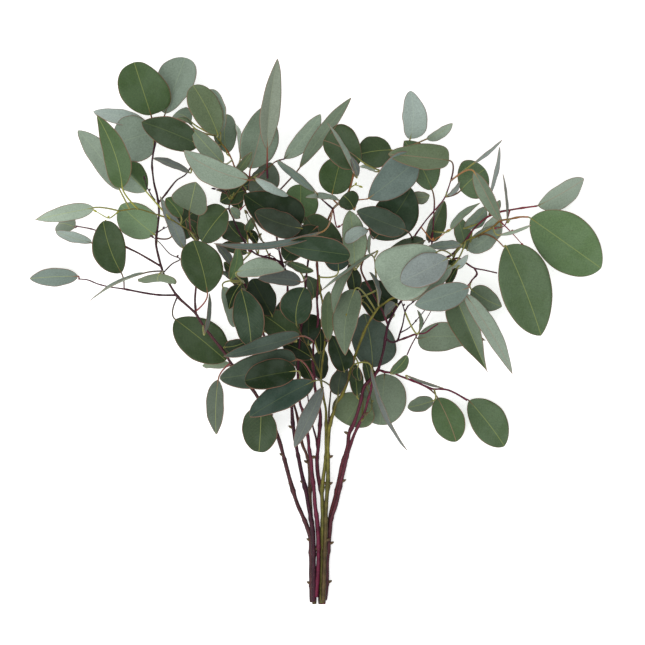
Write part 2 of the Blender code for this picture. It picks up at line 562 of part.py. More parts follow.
def petiole_rings(path, across):
    """Six-sided rings round a petiole's path, their flat sides along the blade."""
    turns = np.radians((150, 90, 30, -30, -90, -150))[:, None]
    rings = []
    for number, place in enumerate(path):
        ahead = unit(path[min(number + 1, len(path) - 1)] - path[max(number - 1, 0)])
        wide = unit(across - ahead * (across @ ahead))
        tall = np.cross(wide, ahead)
        rings.append(place + PETIOLE_RADIUS * (np.cos(turns) * wide + np.sin(turns) * tall))
    return rings


def blade_rings(points):
    """Flat six-point rings of a blade: left, middle and right above, then the same back below."""
    rings = []
    for number in range(1, len(points)):
        ahead = points[number, 1] - points[number - 1, 1]
        left, middle, right = points[number]
        if number == len(points) - 1:
            wide = unit(points[number - 1, 2] - points[number - 1, 0]) * TIP_WIDTH / 2
            left, right = middle - wide, middle + wide
        face = unit(np.cross(right - left, ahead)) * BLADE_THICKNESS / 2
        rings.append(np.array([left + face, middle + face, right + face]))
        rings[-1] = np.vstack([rings[-1], rings[-1][::-1] - 2 * face])
    return rings


def leaf_object(rods, leaf, lift):
    """A leaf, as a loft from the round petiole to the thin blade, both blade faces split alike."""
    points = blade_points(leaf, lift, blade_rows(leaf) + 1, 3)
    path = petiole_path(rods, leaf, lift, PETIOLE_PIECES)
    if np.linalg.norm(path[-1] - path[0]) < LONG_PETIOLE:
        path = path[[0, -1]]
    across = points[1, 2] - points[1, 0]
    rings = petiole_rings(path, unit(across)) + blade_rings(points)
    shape = bmesh.new()
    corners = [[shape.verts.new(corner * MM) for corner in ring] for ring in rings]
    for near, far in zip(corners[:-1], corners[1:]):
        for side in range(6):
            after = (side + 1) % 6
            low, high = (side, after) if side < 3 else (after, side)
            shape.faces.new((near[low], near[high], far[high]))
            shape.faces.new((near[low], far[high], far[low]))
    for ring in (corners[0], corners[-1]):
        shape.faces.new((ring[0], ring[1], ring[4], ring[5]))
        shape.faces.new((ring[1], ring[2], ring[3], ring[4]))
    bmesh.ops.recalc_face_normals(shape, faces=shape.faces)
    mesh = bpy.data.meshes.new(f"leaf_{leaf[0]}")
    shape.to_mesh(mesh)
    shape.free()
    return bpy.data.objects.new(mesh.name, mesh)


def tapered(points, foot, tip):
    """A radius at each place, falling evenly along the way."""
    steps = np.linalg.norm(np.diff(points, axis=0), axis=1)
    return foot + (tip - foot) * np.concatenate([[0], np.cumsum(steps)]) / steps.sum()


def pieces_of(parts, lifts):
    """The stem, then its twigs and its leaves, as separate closed meshes."""
    rods = forked(parts["rods"])
    curves = []
    for number, rod in enumerate(rods):
        points = thinned(placed(rod))
        ends = (STEM_FOOT_RADIUS, STEM_TIP_RADIUS) if number == 0 else (TWIG_FOOT_RADIUS, TWIG_TIP_RADIUS)
        fineness = STEM_FINENESS if number == 0 else TWIG_FINENESS
        curves.append(rod_curve(f"rod_{number}", points, tapered(points, *ends), fineness))
    return [as_mesh(curve) for curve in curves] + [
        leaf_object(rods, leaf, lifts[leaf[0]]) for leaf in parts["leaves"]
    ]


def leaf_material(name, colour):
    """A waxy leaf and bark finish in the stem's own mean colour."""
    material = bpy.data.materials.new(name)
    material.use_nodes = True
    shader = material.node_tree.nodes["Principled BSDF"]
    shader.inputs["Base Color"].default_value = (*colour, 1)
    shader.inputs["Roughness"].default_value = LEAF_ROUGHNESS
    shader.inputs["Metallic"].default_value = 0
    return material


def leafy_stem(name, parts, tone, lifts, collection):
    """One leafy stem: everything that grows on it is joined to it by one union."""
    solids = pieces_of(parts, lifts)
    stem = solids[0]
    stem.name = name
    collection.objects.link(stem)
    growth = bpy.data.collections.new(f"{name}_growth")
    bpy.context.scene.collection.children.link(growth)
    for solid in solids[1:]:
        growth.objects.link(solid)
    union = stem.modifiers.new("union", "BOOLEAN")
    union.operation = "UNION"
    union.operand_type = "COLLECTION"
    union.collection = growth
    union.solver = "MANIFOLD"
    graph = bpy.context.evaluated_depsgraph_get()
    joined = bpy.data.meshes.new_from_object(stem.evaluated_get(graph))
    joined.name = name
    stem.modifiers.clear()
    stem.data = joined
    for solid in solids[1:]:
        bpy.data.objects.remove(solid)
    bpy.data.collections.remove(growth)
    joined.materials.clear()
    joined.materials.append(leaf_material(f"{name}_finish", COLOURS[tone]))
    return stem


def main():
    clear_scene()
    collection = bpy.data.collections.new("eucalyptus_bunch")
    bpy.context.scene.collection.children.link(collection)
    lifts = settle()
    for name, (parts, tone) in STEMS.items():
        leafy_stem(name, parts, tone, lifts, collection)


if __name__ == "__main__":
    main()
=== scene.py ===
"""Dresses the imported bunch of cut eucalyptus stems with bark, petioles, leaf blades and young shoots.

Each leafy stem of the frame is replaced by finer pieces that lie where its solid lies: tubes carried along
its rods and petioles, and blades worked out as surfaces over a grid. Plan places are pixels of the photo,
taken from above, read as millimetres: x runs to the right, and y runs down to the cut ends. Heights are
millimetres above the surface that the bunch lies on.
"""

from collections import namedtuple
from itertools import starmap

import bpy
import numpy as np
from bpy.props import FloatProperty, FloatVectorProperty, PointerProperty
from bpy.types import Operator, Panel, PropertyGroup
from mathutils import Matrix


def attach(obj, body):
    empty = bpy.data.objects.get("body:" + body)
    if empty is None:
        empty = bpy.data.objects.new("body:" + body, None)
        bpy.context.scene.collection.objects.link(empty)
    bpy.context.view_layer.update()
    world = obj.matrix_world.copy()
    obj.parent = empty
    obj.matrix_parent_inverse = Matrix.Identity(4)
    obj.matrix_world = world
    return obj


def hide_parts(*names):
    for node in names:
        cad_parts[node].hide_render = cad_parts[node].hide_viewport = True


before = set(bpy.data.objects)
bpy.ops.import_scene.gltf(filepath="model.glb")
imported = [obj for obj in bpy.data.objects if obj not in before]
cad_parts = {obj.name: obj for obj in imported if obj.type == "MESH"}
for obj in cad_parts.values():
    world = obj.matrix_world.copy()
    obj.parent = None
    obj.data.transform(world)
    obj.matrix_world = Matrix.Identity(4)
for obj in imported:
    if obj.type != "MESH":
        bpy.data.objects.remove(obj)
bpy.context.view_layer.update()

bl_info = {
    "name": "Eucalyptus Bunch",
    "version": (1, 0, 0),
    "blender": (4, 5, 0),
    "location": "3D View > Sidebar > Eucalyptus",
    "description": "Bark, petioles, leaves and young shoots for a bunch of cut eucalyptus stems",
    "category": "Object",
}

MM = 0.001
BODY = "root"

# The photo is what an eye sees from this height over its middle, so higher places come out larger
EYE_HEIGHT = 2200.0
SHARP_HEIGHT = 70.0
EYE_X = 322.5
EYE_Y = 322.5
ORIGIN_X = 313.0
ORIGIN_Y = 334.0
PHOTO_SIDE = 645.0
SENSOR_SIDE = 36.0

# Grids: sides round a tube, rings along it, and rows and columns over a blade
STEM_SIDES = 12
TWIG_SIDES = 8
PETIOLE_SIDES = 8
ROD_STEP = 2.2
SHOOT_STEP = 1.5
PETIOLE_RINGS = 9
RIB_RINGS = 8
BUD_RINGS = 9
BLADE_ROWS = 31
BLADE_COLUMNS = 17

# Bark: slow waves as a share of the radius, the length of each and its shift from rod to rod, and the
# low swellings at the joints, in millimetres apart from the share
BARK_WAVES = ((0.07, 9.0, 1), (0.06, 3.7, 2))
JOINT_GAP = 34.0
JOINT_GAP_MORE = 4.0
JOINT_SHIFT = 11.0
JOINT_SWELLING = 0.3
JOINT_WIDTH = 2.2
# Each rod has lost half of its taper at this share of its length, and falls off with this power
TAPER_MIDDLE = 0.5
TAPER_POWER = 4
CUT_SHARE = 0.82
# Painted light on the bark: it keeps the first share of its tone on its flanks as painted shade, and gains
# the second on its upper side as a painted highlight
FLANK_PAINTED_SHADE = 0.34
UPPER_PAINTED_HIGHLIGHT = 0.9

# Petioles: the longest bend and its share of the way, the foot's radius over the tip's, and the midrib's
# radius as a share of the petiole's, how deep it lies under the blade's middle and its radius at the tip
LONGEST_BEND = 20.0
BEND_SHARE = 0.45
PETIOLE_FOOT_SHARE = 1.2
RIB_SHARE = 0.66
RIB_DEPTH = 0.16
RIB_TIP = 0.06
RIB_END = 0.9
# How much of the usual colour a petiole has at the blade, and what the midrib gains from there on
TONE_AT_BLADE = 0.3
TONE_GAIN = 1.4

# Blades: the margin's lift as a share of the width, the least half width, the usual fold in degrees, how
# far a folded blade sinks, how the thickness falls to the margin, and the least height over the floor
MARGIN_LIFT = 0.07
LEAST_SHAPE = 0.02
USUAL_FOLD = 3
FOLD_SINK = 0.16
FOLD_EASE = 0.4
MARGIN_THINNING = 0.55
FLOOR_GAP = 0.12
# Waves of the margin: turns from base to tip, and the width that has them in full
LONG_WAVE_TURNS = 1.3
SHORT_WAVE_TURNS = 3.4
FULL_WAVE_WIDTH = 40.0
MOST_WAVE = 1.2
NOTCH_SHARE = 0.1
# Side veins slant from the midrib and curve towards the margin
VEIN_SLANT = 0.75
VEIN_CURVE = 0.012

# Share of its own tone that a blade's underside keeps, and the strength of a plain and of a faint midrib
UNDER_SHARE = 0.55
RIB_STRENGTH = 0.6
FAINT_RIB_STRENGTH = 0.14
RIB_BRIGHTENING = 1.25

# Young shoots, their buds and leaf scars, in millimetres, and how much brighter a bud is than its shoot
SHOOT_FOOT_RADIUS = 0.75
SHOOT_TIP_RADIUS = 0.42
BUD_LENGTH = 5.0
BUD_RADIUS = 1.05
BUD_BRIGHTENING = 1.15
SIDE_BUD_WAY = (0.3, 0.4, 0.8)
SCAR_LENGTH = 6.2
SCAR_RADIUS = 1.5

Leaf = namedtuple(
    "Leaf", "number foot base tip seen broad level rise side bow tone sweep swell close lean",
    defaults=(0, (60, 60), (70, 70), 0),
)

# Each rod is a list of (x, y, height). The first of a stem is the stem, and the others fork from it.
# Each leaf has its number, its petiole's foot, its blade's base and tip, the width seen from above and the
# real width, the height of its middle, its rise from base to tip, the side turned up, its bow and its
# colour. Then come the sideways sweep of its midrib and, in percent, how its left and right halves swell
# from the base, how they close to the tip, and how much wider its right half is.
#
# The rods were read from the photo and their heights guessed, and each twig's first place was then worked
# out on its parent. Most leaves' ends, widths, sweeps and percents were fitted to the photo's edges and
# colours by a program, from places read one by one. Most leaf heights and feet were worked out by the
# functions that stack the leaves of the solids. The other leaf values were set one by one.
FAR_LEFT = {"rods": [
    [(311.8, 602, 7.2), (310.9, 565, 8), (310.6, 540, 9), (306.8, 526, 10), (301.8, 514, 12),
     (297, 503, 14), (290.5, 482, 18), (283.8, 457, 22), (277.3, 435, 27), (268, 417, 32), (257, 396, 38),
     (243, 377, 43), (231, 363, 48), (224, 352, 51), (205, 328, 58), (196, 314, 61), (190, 308, 62),
     (178, 297, 62), (170, 285, 61), (163, 272, 60), (157, 250, 59), (156, 240, 58), (158, 225, 57),
     (159, 210, 56), (157, 195, 56), (154, 183, 56), (152, 165, 57), (153, 155, 58), (155, 140, 62),
     (152, 120, 68)],
    [(196, 314, 61), (195, 300, 65), (196, 286, 69), (197, 265, 72), (198, 240, 75), (190, 231, 76),
     (180, 225, 75), (170, 219, 73), (155, 214, 71), (138, 209, 69), (125, 210, 67), (119, 211, 66)],
    [(161.5, 266.6, 59.8), (140, 254, 57), (126, 247, 54), (110, 238, 51), (95, 230, 49), (76, 226, 46)],
    [(176.8, 295.2, 61.8), (160, 295, 60), (145, 293, 57), (124, 289, 52), (110, 287, 42), (98, 284, 32),
     (88, 280, 24), (79, 279, 18)],
    [(158.1, 203, 56), (165, 195, 60), (171, 187, 66), (177, 180, 70), (185, 175, 72), (191, 167, 72)],
], "leaves": [
    (1, (152.1, 121, 67.7), (151, 115.1), (133.5, 60.8), 48.6, 49.6, 76, 10, 1, 4, "leaf", -0.6, (66, 28),
     (51, 63), 2),
    (2, (155, 140, 62), (165.2, 113.7), (184.9, 57.6), 41.1, 45.2, 58, -10, -1, 5, "pale_grey", 2, (64, 69),
     (53, 52), 7),
    (3, (154.7, 142, 61.5), (156.7, 131.9), (113.7, 145), 50.6, 53.9, 42, -12, 1, 4, "pale_grey", -0.6,
     (44, 73), (71, 55), -11),
    (4, (138, 209, 69), (122.3, 187.4), (96.8, 115), 26.8, 31.7, 106.2, 24, -1, 5, "leaf", 8.8, (38, 64),
     (86, 78), 13),
    (5, (130, 209.6, 67.8), (119.6, 189.6), (77.9, 130.5), 23.4, 28.3, 84.2, 10, 1, 3, "pale", 1.7,
     (62, 68), (71, 70)),
    (6, (154.2, 145.9, 60.4), (146, 122.5), (93.3, 111.5), 17, 24, 22, -14, 1, 4, "pale_blue", -4, (63, 63),
     (84, 73), -20),
    (7, (170, 219, 73), (146, 191.5), (120, 166), 31, 34, 62.2, -5, 1, 4, "pale_sage", -1, (70, 66),
     (64, 45), -10),
    (9, (119, 211, 66), (93.3, 207.7), (35, 219.7), 15.9, 21.2, 62.8, -16, -1, 5, "pale", 4.2, (54, 48),
     (92, 106), 8),
    (10, (77, 226.2, 46.2), (75.1, 227.5), (57.2, 225), 21.9, 25.3, 20.4, -40, 1, 3, "sage", 0.9, (45, 70),
     (90, 66), -5),
    (11, (97, 231.1, 49.3), (91.3, 242.9), (55.9, 231.4), 10.8, 17.9, 55.3, -12, 1, 3, "pale_blue", -5.3,
     (60, 56), (79, 78), -7),
    (12, (124, 289, 52), (121.3, 272.9), (103.2, 221.2), 33, 35.9, 85.6, 6, 1, 4, "moss", -4.1, (55, 76),
     (64, 53), -9),
    (13, (79, 279, 18), (77.8, 276.1), (29.8, 278.5), 18.6, 23.7, 6.6, -12, -1, 3, "ash", 3, (61, 50),
     (68, 83), 7),
    (14, (162.7, 271.1, 60), (144.4, 273), (90.3, 300.7), 3.2, 21.4, 101.9, -6, 1, 4, "pale_grey", -8.1,
     (61, 57), (93, 85), 2),
    (15, (163, 272, 60), (159.8, 273.3), (163.2, 281.5), 38, 38.9, 76, -34, 1, 3, "olive", 3.7, (29, 51),
     (77, 63)),
    (16, (156.4, 244.1, 58.4), (154.3, 234.4), (120.6, 205), 36.7, 39.3, 40, -6, -1, 4, "soft_green", 0.7,
     (57, 38), (52, 72), 4),
    (20, (195.8, 311.1, 61.8), (207.4, 292.9), (193.2, 240.5), 39, 41.8, 99.7, 14, 1, 4, "moss", 0.5,
     (76, 62), (42, 66), -1),
    (21, (177.6, 296.5, 61.9), (175.3, 319.4), (225.8, 360.4), 42.3, 46.4, 30, 0, -1, 5, "moss", 1,
     (73, 60), (58, 64), 7),
    (23, (227.9, 358.1, 49.3), (230.4, 365.8), (202.4, 365.7), 8.5, 25.4, 14, -4, 1, 3, "light", -6.9,
     (56, 51), (67, 64), -12),
    (25, (231, 363, 48), (218.2, 379.8), (216.4, 434.5), 19.2, 24.3, 34, -12, 1, 4, "dark_sage", -1.4,
     (66, 61), (84, 83), -2),
    (30, (261.8, 405.1, 35.4), (261.2, 407.5), (258.8, 454), 36.8, 40, 29, -8, 1, 3, "dark", -1.8, (55, 48),
     (70, 65), -2),
    (121, (190.9, 232.1, 75.9), (189.6, 211), (196, 182.1), 38.2, 41.3, 94.3, 26, -1, 4, "dull_sage", 1.8,
     (28, 59), (73, 43), -2),
    (122, (156.3, 237.9, 57.9), (172, 236), (196, 209), 30, 33, 40, -4, 1, 4, "dark", -2.3, (59, 52),
     (77, 70), -1),
    (124, (197.1, 262, 72.4), (183, 248), (160, 196), 13, 18, 64, -6, 1, 5, "lilac", -3.8, (53, 47),
     (100, 106), -4),
    (139, (203.1, 325, 58.6), (204.5, 334), (209.3, 293), 4, 10, 80, 6, 1, 2, "grey", 0, (60, 60), (80, 80),
     -11),
    (151, (191, 167, 72), (189.8, 172.8), (152.8, 158.4), 8.2, 18.5, 81, 4, 1, 3, "grey", -4.6, (61, 65),
     (75, 64), -6),
    (152, (180, 225, 75), (181, 217), (166, 198), 16, 18, 70, 4, 1, 3, "leaf", 0, (60, 60), (60, 60)),
    (153, (190, 231, 76), (198, 241), (186, 219), 13, 16, 60, 4, 1, 3, "dark"),
    (154, (224, 352, 51), (225, 347), (246, 341), 15, 18, 44, -4, 1, 3, "very_dark", 0, (50, 50), (80, 80)),
]}

LEFT = {"rods": [
    [(314, 601, 11.7), (313.8, 565, 13), (313, 535, 14.5), (311, 520, 15.5), (308.4, 505, 17.5),
     (305.6, 490, 20), (302, 475, 23), (299, 460, 26), (296.4, 447, 29), (293, 425, 33), (292, 411, 36),
     (291, 395, 39), (292, 375, 42), (293, 360, 44), (291, 330, 50), (288, 300, 55), (287, 275, 59),
     (283, 265, 61), (279, 250, 64), (276, 232, 67), (275, 215, 72), (272, 198, 77), (268, 182, 83),
     (267, 168, 88)],
    [(284.2, 267.9, 60.4), (280, 262, 63), (270, 258, 66), (258, 255, 69), (250, 249, 71), (241, 236, 74),
     (233, 218, 77), (229, 208, 79), (233, 198, 82), (242, 186, 86), (250, 179, 88), (264, 171, 90),
     (275, 162, 91), (284, 159, 92)],
    [(250, 179, 88), (244, 173, 86), (236, 169, 82), (232, 160, 78), (228, 152, 75), (222, 144, 73),
     (216, 136, 72)],
], "leaves": [
    (8, (222, 144, 73), (199, 144.5), (141.8, 121.8), 30, 33, 97.6, 4, -1, 4, "dark", 2.7, (53, 68),
     (66, 83), 2),
    (31, (267.1, 169, 87.6), (267.3, 149), (277.3, 58.4), 19.1, 23.8, 117.6, 18, 1, 6, "stone", -6.1,
     (70, 73), (102, 79), -12),
    (32, (250, 179, 88), (250.5, 168.4), (264.1, 106.6), 37, 39.9, 92, 12, 1, 4, "grey_green", 0.6,
     (62, 62), (77, 79), 1),
    (33, (236, 169, 82), (240.3, 156), (235.9, 124.5), 5.2, 24.7, 62, -8, 1, 3, "pale", -8.8, (64, 63),
     (71, 72), -11),
    (35, (242, 186, 86), (251.9, 194.4), (271.7, 162.8), 28.3, 32, 78, -8, -1, 4, "dark_sage", 6.1,
     (56, 55), (64, 78), 14),
    (36, (284, 159, 92), (284.2, 158.8), (320.6, 114.3), 17.9, 22.3, 86, 6, 1, 4, "pale_sage", -0.1,
     (75, 72), (73, 76), 2),
    (37, (272, 198, 77), (299.4, 168.1), (351.3, 97.6), 14.6, 18.7, 100.4, 14, -1, 6, "sage", 4.1, (80, 80),
     (85, 86), 1),
    (104, (279, 250, 64), (282.7, 245.9), (350.1, 255.1), 24.4, 32.5, 147.4, 4, 1, 4, "deep", -3.2,
     (76, 61), (58, 37), -27),
    (112, (257.8, 174.6, 89.1), (255.1, 177.6), (288.5, 195.7), 7.7, 23.2, 127.2, -6, 1, 3, "pale_blue",
     -5.7, (58, 60), (73, 57), -9),
    (113, (264, 171, 90), (247.5, 180), (183.7, 150.8), 27.1, 34.8, 136.9, -4, 1, 5, "pale_sage", -10,
     (49, 52), (88, 70), -37),
    (114, (216.8, 137.1, 72.1), (217.8, 134.5), (193, 85.5), 30, 34, 115.2, 12, 1, 4, "olive", 0, (60, 60),
     (45, 50), -13),
    (115, (232, 160, 78), (223.3, 163.1), (191.8, 128), 19, 24.7, 104, -4, -1, 4, "sage", 2.3, (59, 55),
     (80, 87), 4),
    (116, (220.3, 141.8, 72.7), (220.3, 132.1), (208.9, 89.6), 22.8, 28, 97.1, 4, -1, 3, "pale_grey", 2.8,
     (61, 52), (74, 39), 8),
    (117, (230, 156, 76.5), (226.6, 152.9), (227.5, 114.2), 22.8, 26.3, 62, -10, 1, 3, "grey_green", -4.6,
     (50, 58), (68, 55), -3),
    (118, (216, 136, 72), (191, 121.5), (174, 114.5), 16.3, 21.4, 56, -6, 1, 3, "grey_green", 0.8, (54, 62),
     (52, 53)),
    (119, (244, 173, 86), (236.8, 172.5), (251.8, 151.8), 8.2, 15.6, 121.6, 6, 1, 3, "olive", -4.4,
     (55, 51), (76, 70), -4),
    (120, (229.8, 210.1, 78.6), (226.4, 209.1), (201.8, 241.3), 32.1, 36.4, 83, -8, 1, 4, "moss", -1,
     (59, 35), (62, 52)),
    (125, (242.3, 237.8, 73.6), (246.4, 241.2), (227.5, 221.5), 25.3, 30.1, 58, -10, 1, 3, "dark", -4.1,
     (54, 47), (68, 72), -10),
    (127, (233, 218, 77), (239.4, 217.2), (230.5, 208.2), 9.7, 13.6, 127.5, 4, 1, 2, "grey_green", -2.3,
     (55, 54), (58, 56), -3),
    (128, (247.9, 246, 71.7), (247.7, 230.6), (252.3, 217.1), 8.8, 15.6, 80, 6, 1, 3, "mid", -4.3, (63, 53),
     (66, 71), -1),
    (129, (252.2, 250.7, 70.4), (231.2, 264.3), (215.6, 244), 8.4, 14.9, 78, 2, 1, 3, "grey", -2.5,
     (55, 52), (77, 86), -3),
    (133, (284.3, 268.3, 60.3), (289.8, 261.5), (313.5, 271.2), 8, 22, 127.1, 2, 1, 3, "dark", -4.7,
     (59, 59), (50, 65), -16),
    (155, (242, 186, 86), (246, 190), (220, 202), 24, 27, 74, -4, 1, 3, "dark", 0, (50, 50), (80, 80)),
    (156, (233, 198, 82), (230, 196), (216, 190.5), 3.6, 7, 88, 4, 1, 2, "dark_olive", 0, (60, 60),
     (80, 80)),
    (157, (233, 198, 82), (229, 198), (222, 186.5), 3.4, 6, 90, 4, 1, 2, "dark", 0, (60, 60), (80, 80)),
    (126, (258, 255, 69), (257, 243), (246, 230), 9.5, 12, 72, 4, 1, 2, "very_dark", 0, (55, 55)),
    (158, (216, 136, 72), (192.5, 126), (177, 118.5), 4.8, 9, 112, 4, 1, 2, "mid", 1),
    (159, (250, 249, 71), (247, 253), (221, 245), 13, 16, 50, 4, 1, 2, "dark"),
    (178, (233, 198, 82), (236, 187), (240, 209), 16, 19, 66, 2, 1, 2, "dark", 0, (50, 50), (60, 60)),
    (179, (250, 179, 88), (261, 184), (242.5, 187), 16, 19, 72, 2, 1, 2, "teal", 0, (50, 50), (60, 60)),
]}

LOW_LEFT = {"rods": [
    [(314.3, 604, 2.6), (314, 565, 3.2), (313.2, 535, 4), (311, 515, 6), (310, 495, 8), (310, 480, 10),
     (309, 463, 13), (306, 453, 15), (302, 443, 17), (298, 420, 21), (294, 405, 24), (287, 388, 28),
     (278, 368, 32), (268, 347, 38), (261, 325, 46), (256, 300, 56), (248, 290, 62), (243, 281, 67)],
], "leaves": [
    (130, (243, 281, 67), (230.6, 279.4), (237.5, 244.7), 11.8, 17.7, 85.5, 8, 1, 3, "bright", 0.1,
     (58, 58), (82, 84)),
    (131, (244.1, 283, 65.9), (236.9, 272.2), (284.5, 270.3), 18.8, 24.4, 132.3, 6, -1, 3, "pale_sage",
     -1.6, (65, 48), (69, 85), 3),
    (134, (261, 325, 46), (272, 315.6), (252, 278.9), 27, 30.6, 61, -6, 1, 4, "very_dark", -1.9, (56, 74),
     (59, 64), -5),
    (137, (248, 290, 62), (241.5, 289.9), (251.3, 347), 31.4, 36.4, 87.9, -8, 1, 5, "deep", -5.2, (56, 62),
     (65, 61), -13),
    (138, (243, 281, 67), (222.8, 287.1), (234.4, 327.1), 14.1, 22.2, 72, -6, -1, 4, "pale_sage", 2.2,
     (54, 63), (87, 60), 5),
    (140, (262.9, 331, 43.8), (296, 340), (260, 313), 31, 35, 64, -4, 1, 3, "moss", 0, (48, 44), (61, 68)),
    (160, (243, 281, 67), (238, 284), (218, 271), 6.5, 14, 60, -4, 1, 2, "slate", 0, (60, 60), (80, 80)),
    (161, (243, 281, 67), (240, 285), (229, 309), 14, 17, 78, 2, 1, 3, "very_dark", 0, (50, 50), (60, 60)),
    (162, (268, 347, 38), (272, 332), (285, 298), 17, 21, 40, 4, 1, 3, "dark"),
    (163, (256, 300, 56), (246, 291), (224, 262), 17, 21, 48, 4, 1, 3, "dark"),
]}

TALL = {"rods": [
    [(316, 597, 11.7), (318, 570, 12.2), (318.4, 550, 12.6), (318, 535, 13), (317, 520, 14), (315, 505, 16),
     (314, 490, 18), (312, 475, 21), (311, 460, 24), (309, 448, 26), (308, 437, 28), (303, 412, 33),
     (300, 403, 35), (298, 380, 42), (299, 350, 49), (302, 320, 56), (305, 290, 64), (308, 262, 72),
     (311, 240, 78), (306, 229, 81)],
], "leaves": [
    (100, (306, 229, 81), (301.1, 224.8), (243.9, 194.1), 43, 46, 111.1, 8, 1, 5, "very_dark", -5, (37, 40),
     (63, 81), 2),
    (101, (306.9, 231, 80.4), (301.3, 228.5), (254.8, 212.4), 26.4, 33, 130.2, 4, 1, 4, "dark_grey", -5.9,
     (52, 59), (73, 59), -19),
    (103, (306, 229, 81), (306.5, 218.2), (343.9, 250.2), 34.4, 38.3, 83, -4, 1, 4, "moss", 1.6, (47, 54),
     (72, 69), 1),
    (107, (309.2, 235.9, 79.1), (317, 227), (284.5, 259.5), 25, 29, 125.7, 2, 1, 4, "very_dark", -1,
     (54, 54), (45, 45)),
    (102, (307.8, 233.1, 79.9), (299.9, 223.9), (300.6, 184.5), 33.8, 35.9, 64, -8, 1, 3, "bright", -0.8,
     (57, 57), (54, 51)),
    (132, (306.3, 278, 67.4), (300.9, 282), (258, 278.5), 15.8, 23.2, 111.1, 2, 1, 4, "grey", -2, (54, 50),
     (73, 80), -1),
    (136, (305, 290, 64), (312.4, 298.4), (305.4, 275.4), 15.1, 22.2, 44, -6, 1, 3, "moss", 2.2, (63, 51),
     (57, 69), 4),
    # Leaf 28 is a very dark blade laid over the dark hollow of leaf 27: its tone is partly painted shade
    (28, (298.4, 385, 40.5), (296, 371), (245, 381), 29, 32, 86, -8, 1, 3, "very_dark", 0, (45, 45),
     (50, 50)),
    (164, (305, 290, 64), (300, 272), (283, 262), 7, 12, 56, 4, 1, 2, "dark", 0, (60, 60), (80, 80)),
]}

MIDDLE = {"rods": [
    [(320.4, 604, 2.6), (320, 565, 3), (321.5, 535, 4), (323.5, 515, 5.5), (323, 505, 7), (321, 490, 9),
     (318, 475, 11.5), (317, 460, 14), (318, 450, 16), (319, 437, 18), (320, 425, 20), (320, 411, 23),
     (315, 388, 30), (314, 375, 33), (313, 360, 37), (314, 338, 43), (318, 322, 48), (317, 300, 54),
     (318, 280, 60), (317, 260, 66), (320, 240, 72), (327, 222, 78), (333, 209, 82), (338, 204, 84),
     (343, 199, 86), (347, 194, 88), (350, 188, 90), (354, 173, 94)],
    [(317.8, 452, 15.6), (316, 438, 19), (313, 427, 22), (310, 412, 25), (308, 398, 29), (307, 386, 33)],
    [(342, 200, 85.6), (350, 201, 86), (358, 200, 87), (366, 199, 88)],
    [(333, 209, 82), (326, 203, 84), (319, 197, 86)],
], "leaves": [
    (26, (313.8, 342, 41.9), (299.7, 336.4), (223.7, 356.3), 15.6, 26, 106.2, -8, 1, 4, "slate", -5,
     (64, 39), (74, 88), -5),
    (27, (314.5, 381, 31.6), (296, 360), (219.8, 378.5), 34, 39, 70, -10, 1, 4, "deep_sage", -4.9, (52, 35),
     (67, 61), -3),
    (38, (353.8, 173.9, 93.8), (354, 172), (327.5, 123), 5.5, 14, 129.2, 6, 1, 2, "pale_grey", -0.9,
     (50, 50), (85, 85), -3),
    (42, (338, 204, 84), (332.2, 193.9), (341.2, 158.1), 34.3, 35.3, 74, -6, 1, 4, "leaf", -1.3, (39, 53),
     (53, 60), -5),
    (43, (366, 199, 88), (368.2, 198.5), (416.4, 160.5), 35.5, 38.5, 116.9, 6, 1, 4, "blue_grey", -0.7,
     (75, 68), (28, 51), -9),
    (106, (332.1, 211, 81.4), (322, 232), (213.5, 243.5), 7.5, 14, 154, 0, 1, -5, "blue_grey", -8, (60, 60),
     (75, 75)),
    (109, (356, 200.2, 86.8), (353.5, 208.9), (343.3, 195.5), 21.6, 26, 118, 4, 1, 2, "dark", 0.3, (68, 49),
     (28, 34), -7),
    (110, (334, 208, 82.4), (338.7, 200.1), (305.7, 197.4), 7.3, 23, 109.6, 2, 1, 3, "pale_grey", -5.7,
     (60, 56), (69, 67), -4),
    (111, (319, 197, 86), (315.7, 192), (277.5, 160), 7.2, 19.7, 127.7, 2, -1, 4, "ash", 9.6, (65, 62),
     (47, 73), 12),
    (149, (314, 375, 33), (321.1, 379.2), (322.9, 348.6), 17.8, 22.7, 14, -4, 1, 3, "very_dark", -5.5,
     (49, 53), (70, 63), -10),
    (141, (313.9, 340, 42.5), (308, 344), (308.5, 314), 25, 26.1, 46, -4, 1, 3, "very_dark", -0.6, (55, 58),
     (65, 32)),
    (165, (313, 360, 37), (312, 358), (282, 343), 20, 24, 48, -4, 1, 3, "very_dark"),
    (166, (314, 375, 33), (312, 382), (296, 356), 18, 21, 20, -4, 1, 3, "dark", 0, (60, 60), (60, 60)),
    (167, (314, 338, 43), (320, 352), (319, 328), 13, 16, 30, 2, 1, 2, "very_dark", 0, (60, 60), (60, 60)),
    (175, (353.8, 173.9, 93.8), (357, 177), (349, 155), 7, 12, 122, 2, 1, 2, "grey", 0, (50, 50), (80, 80)),
]}

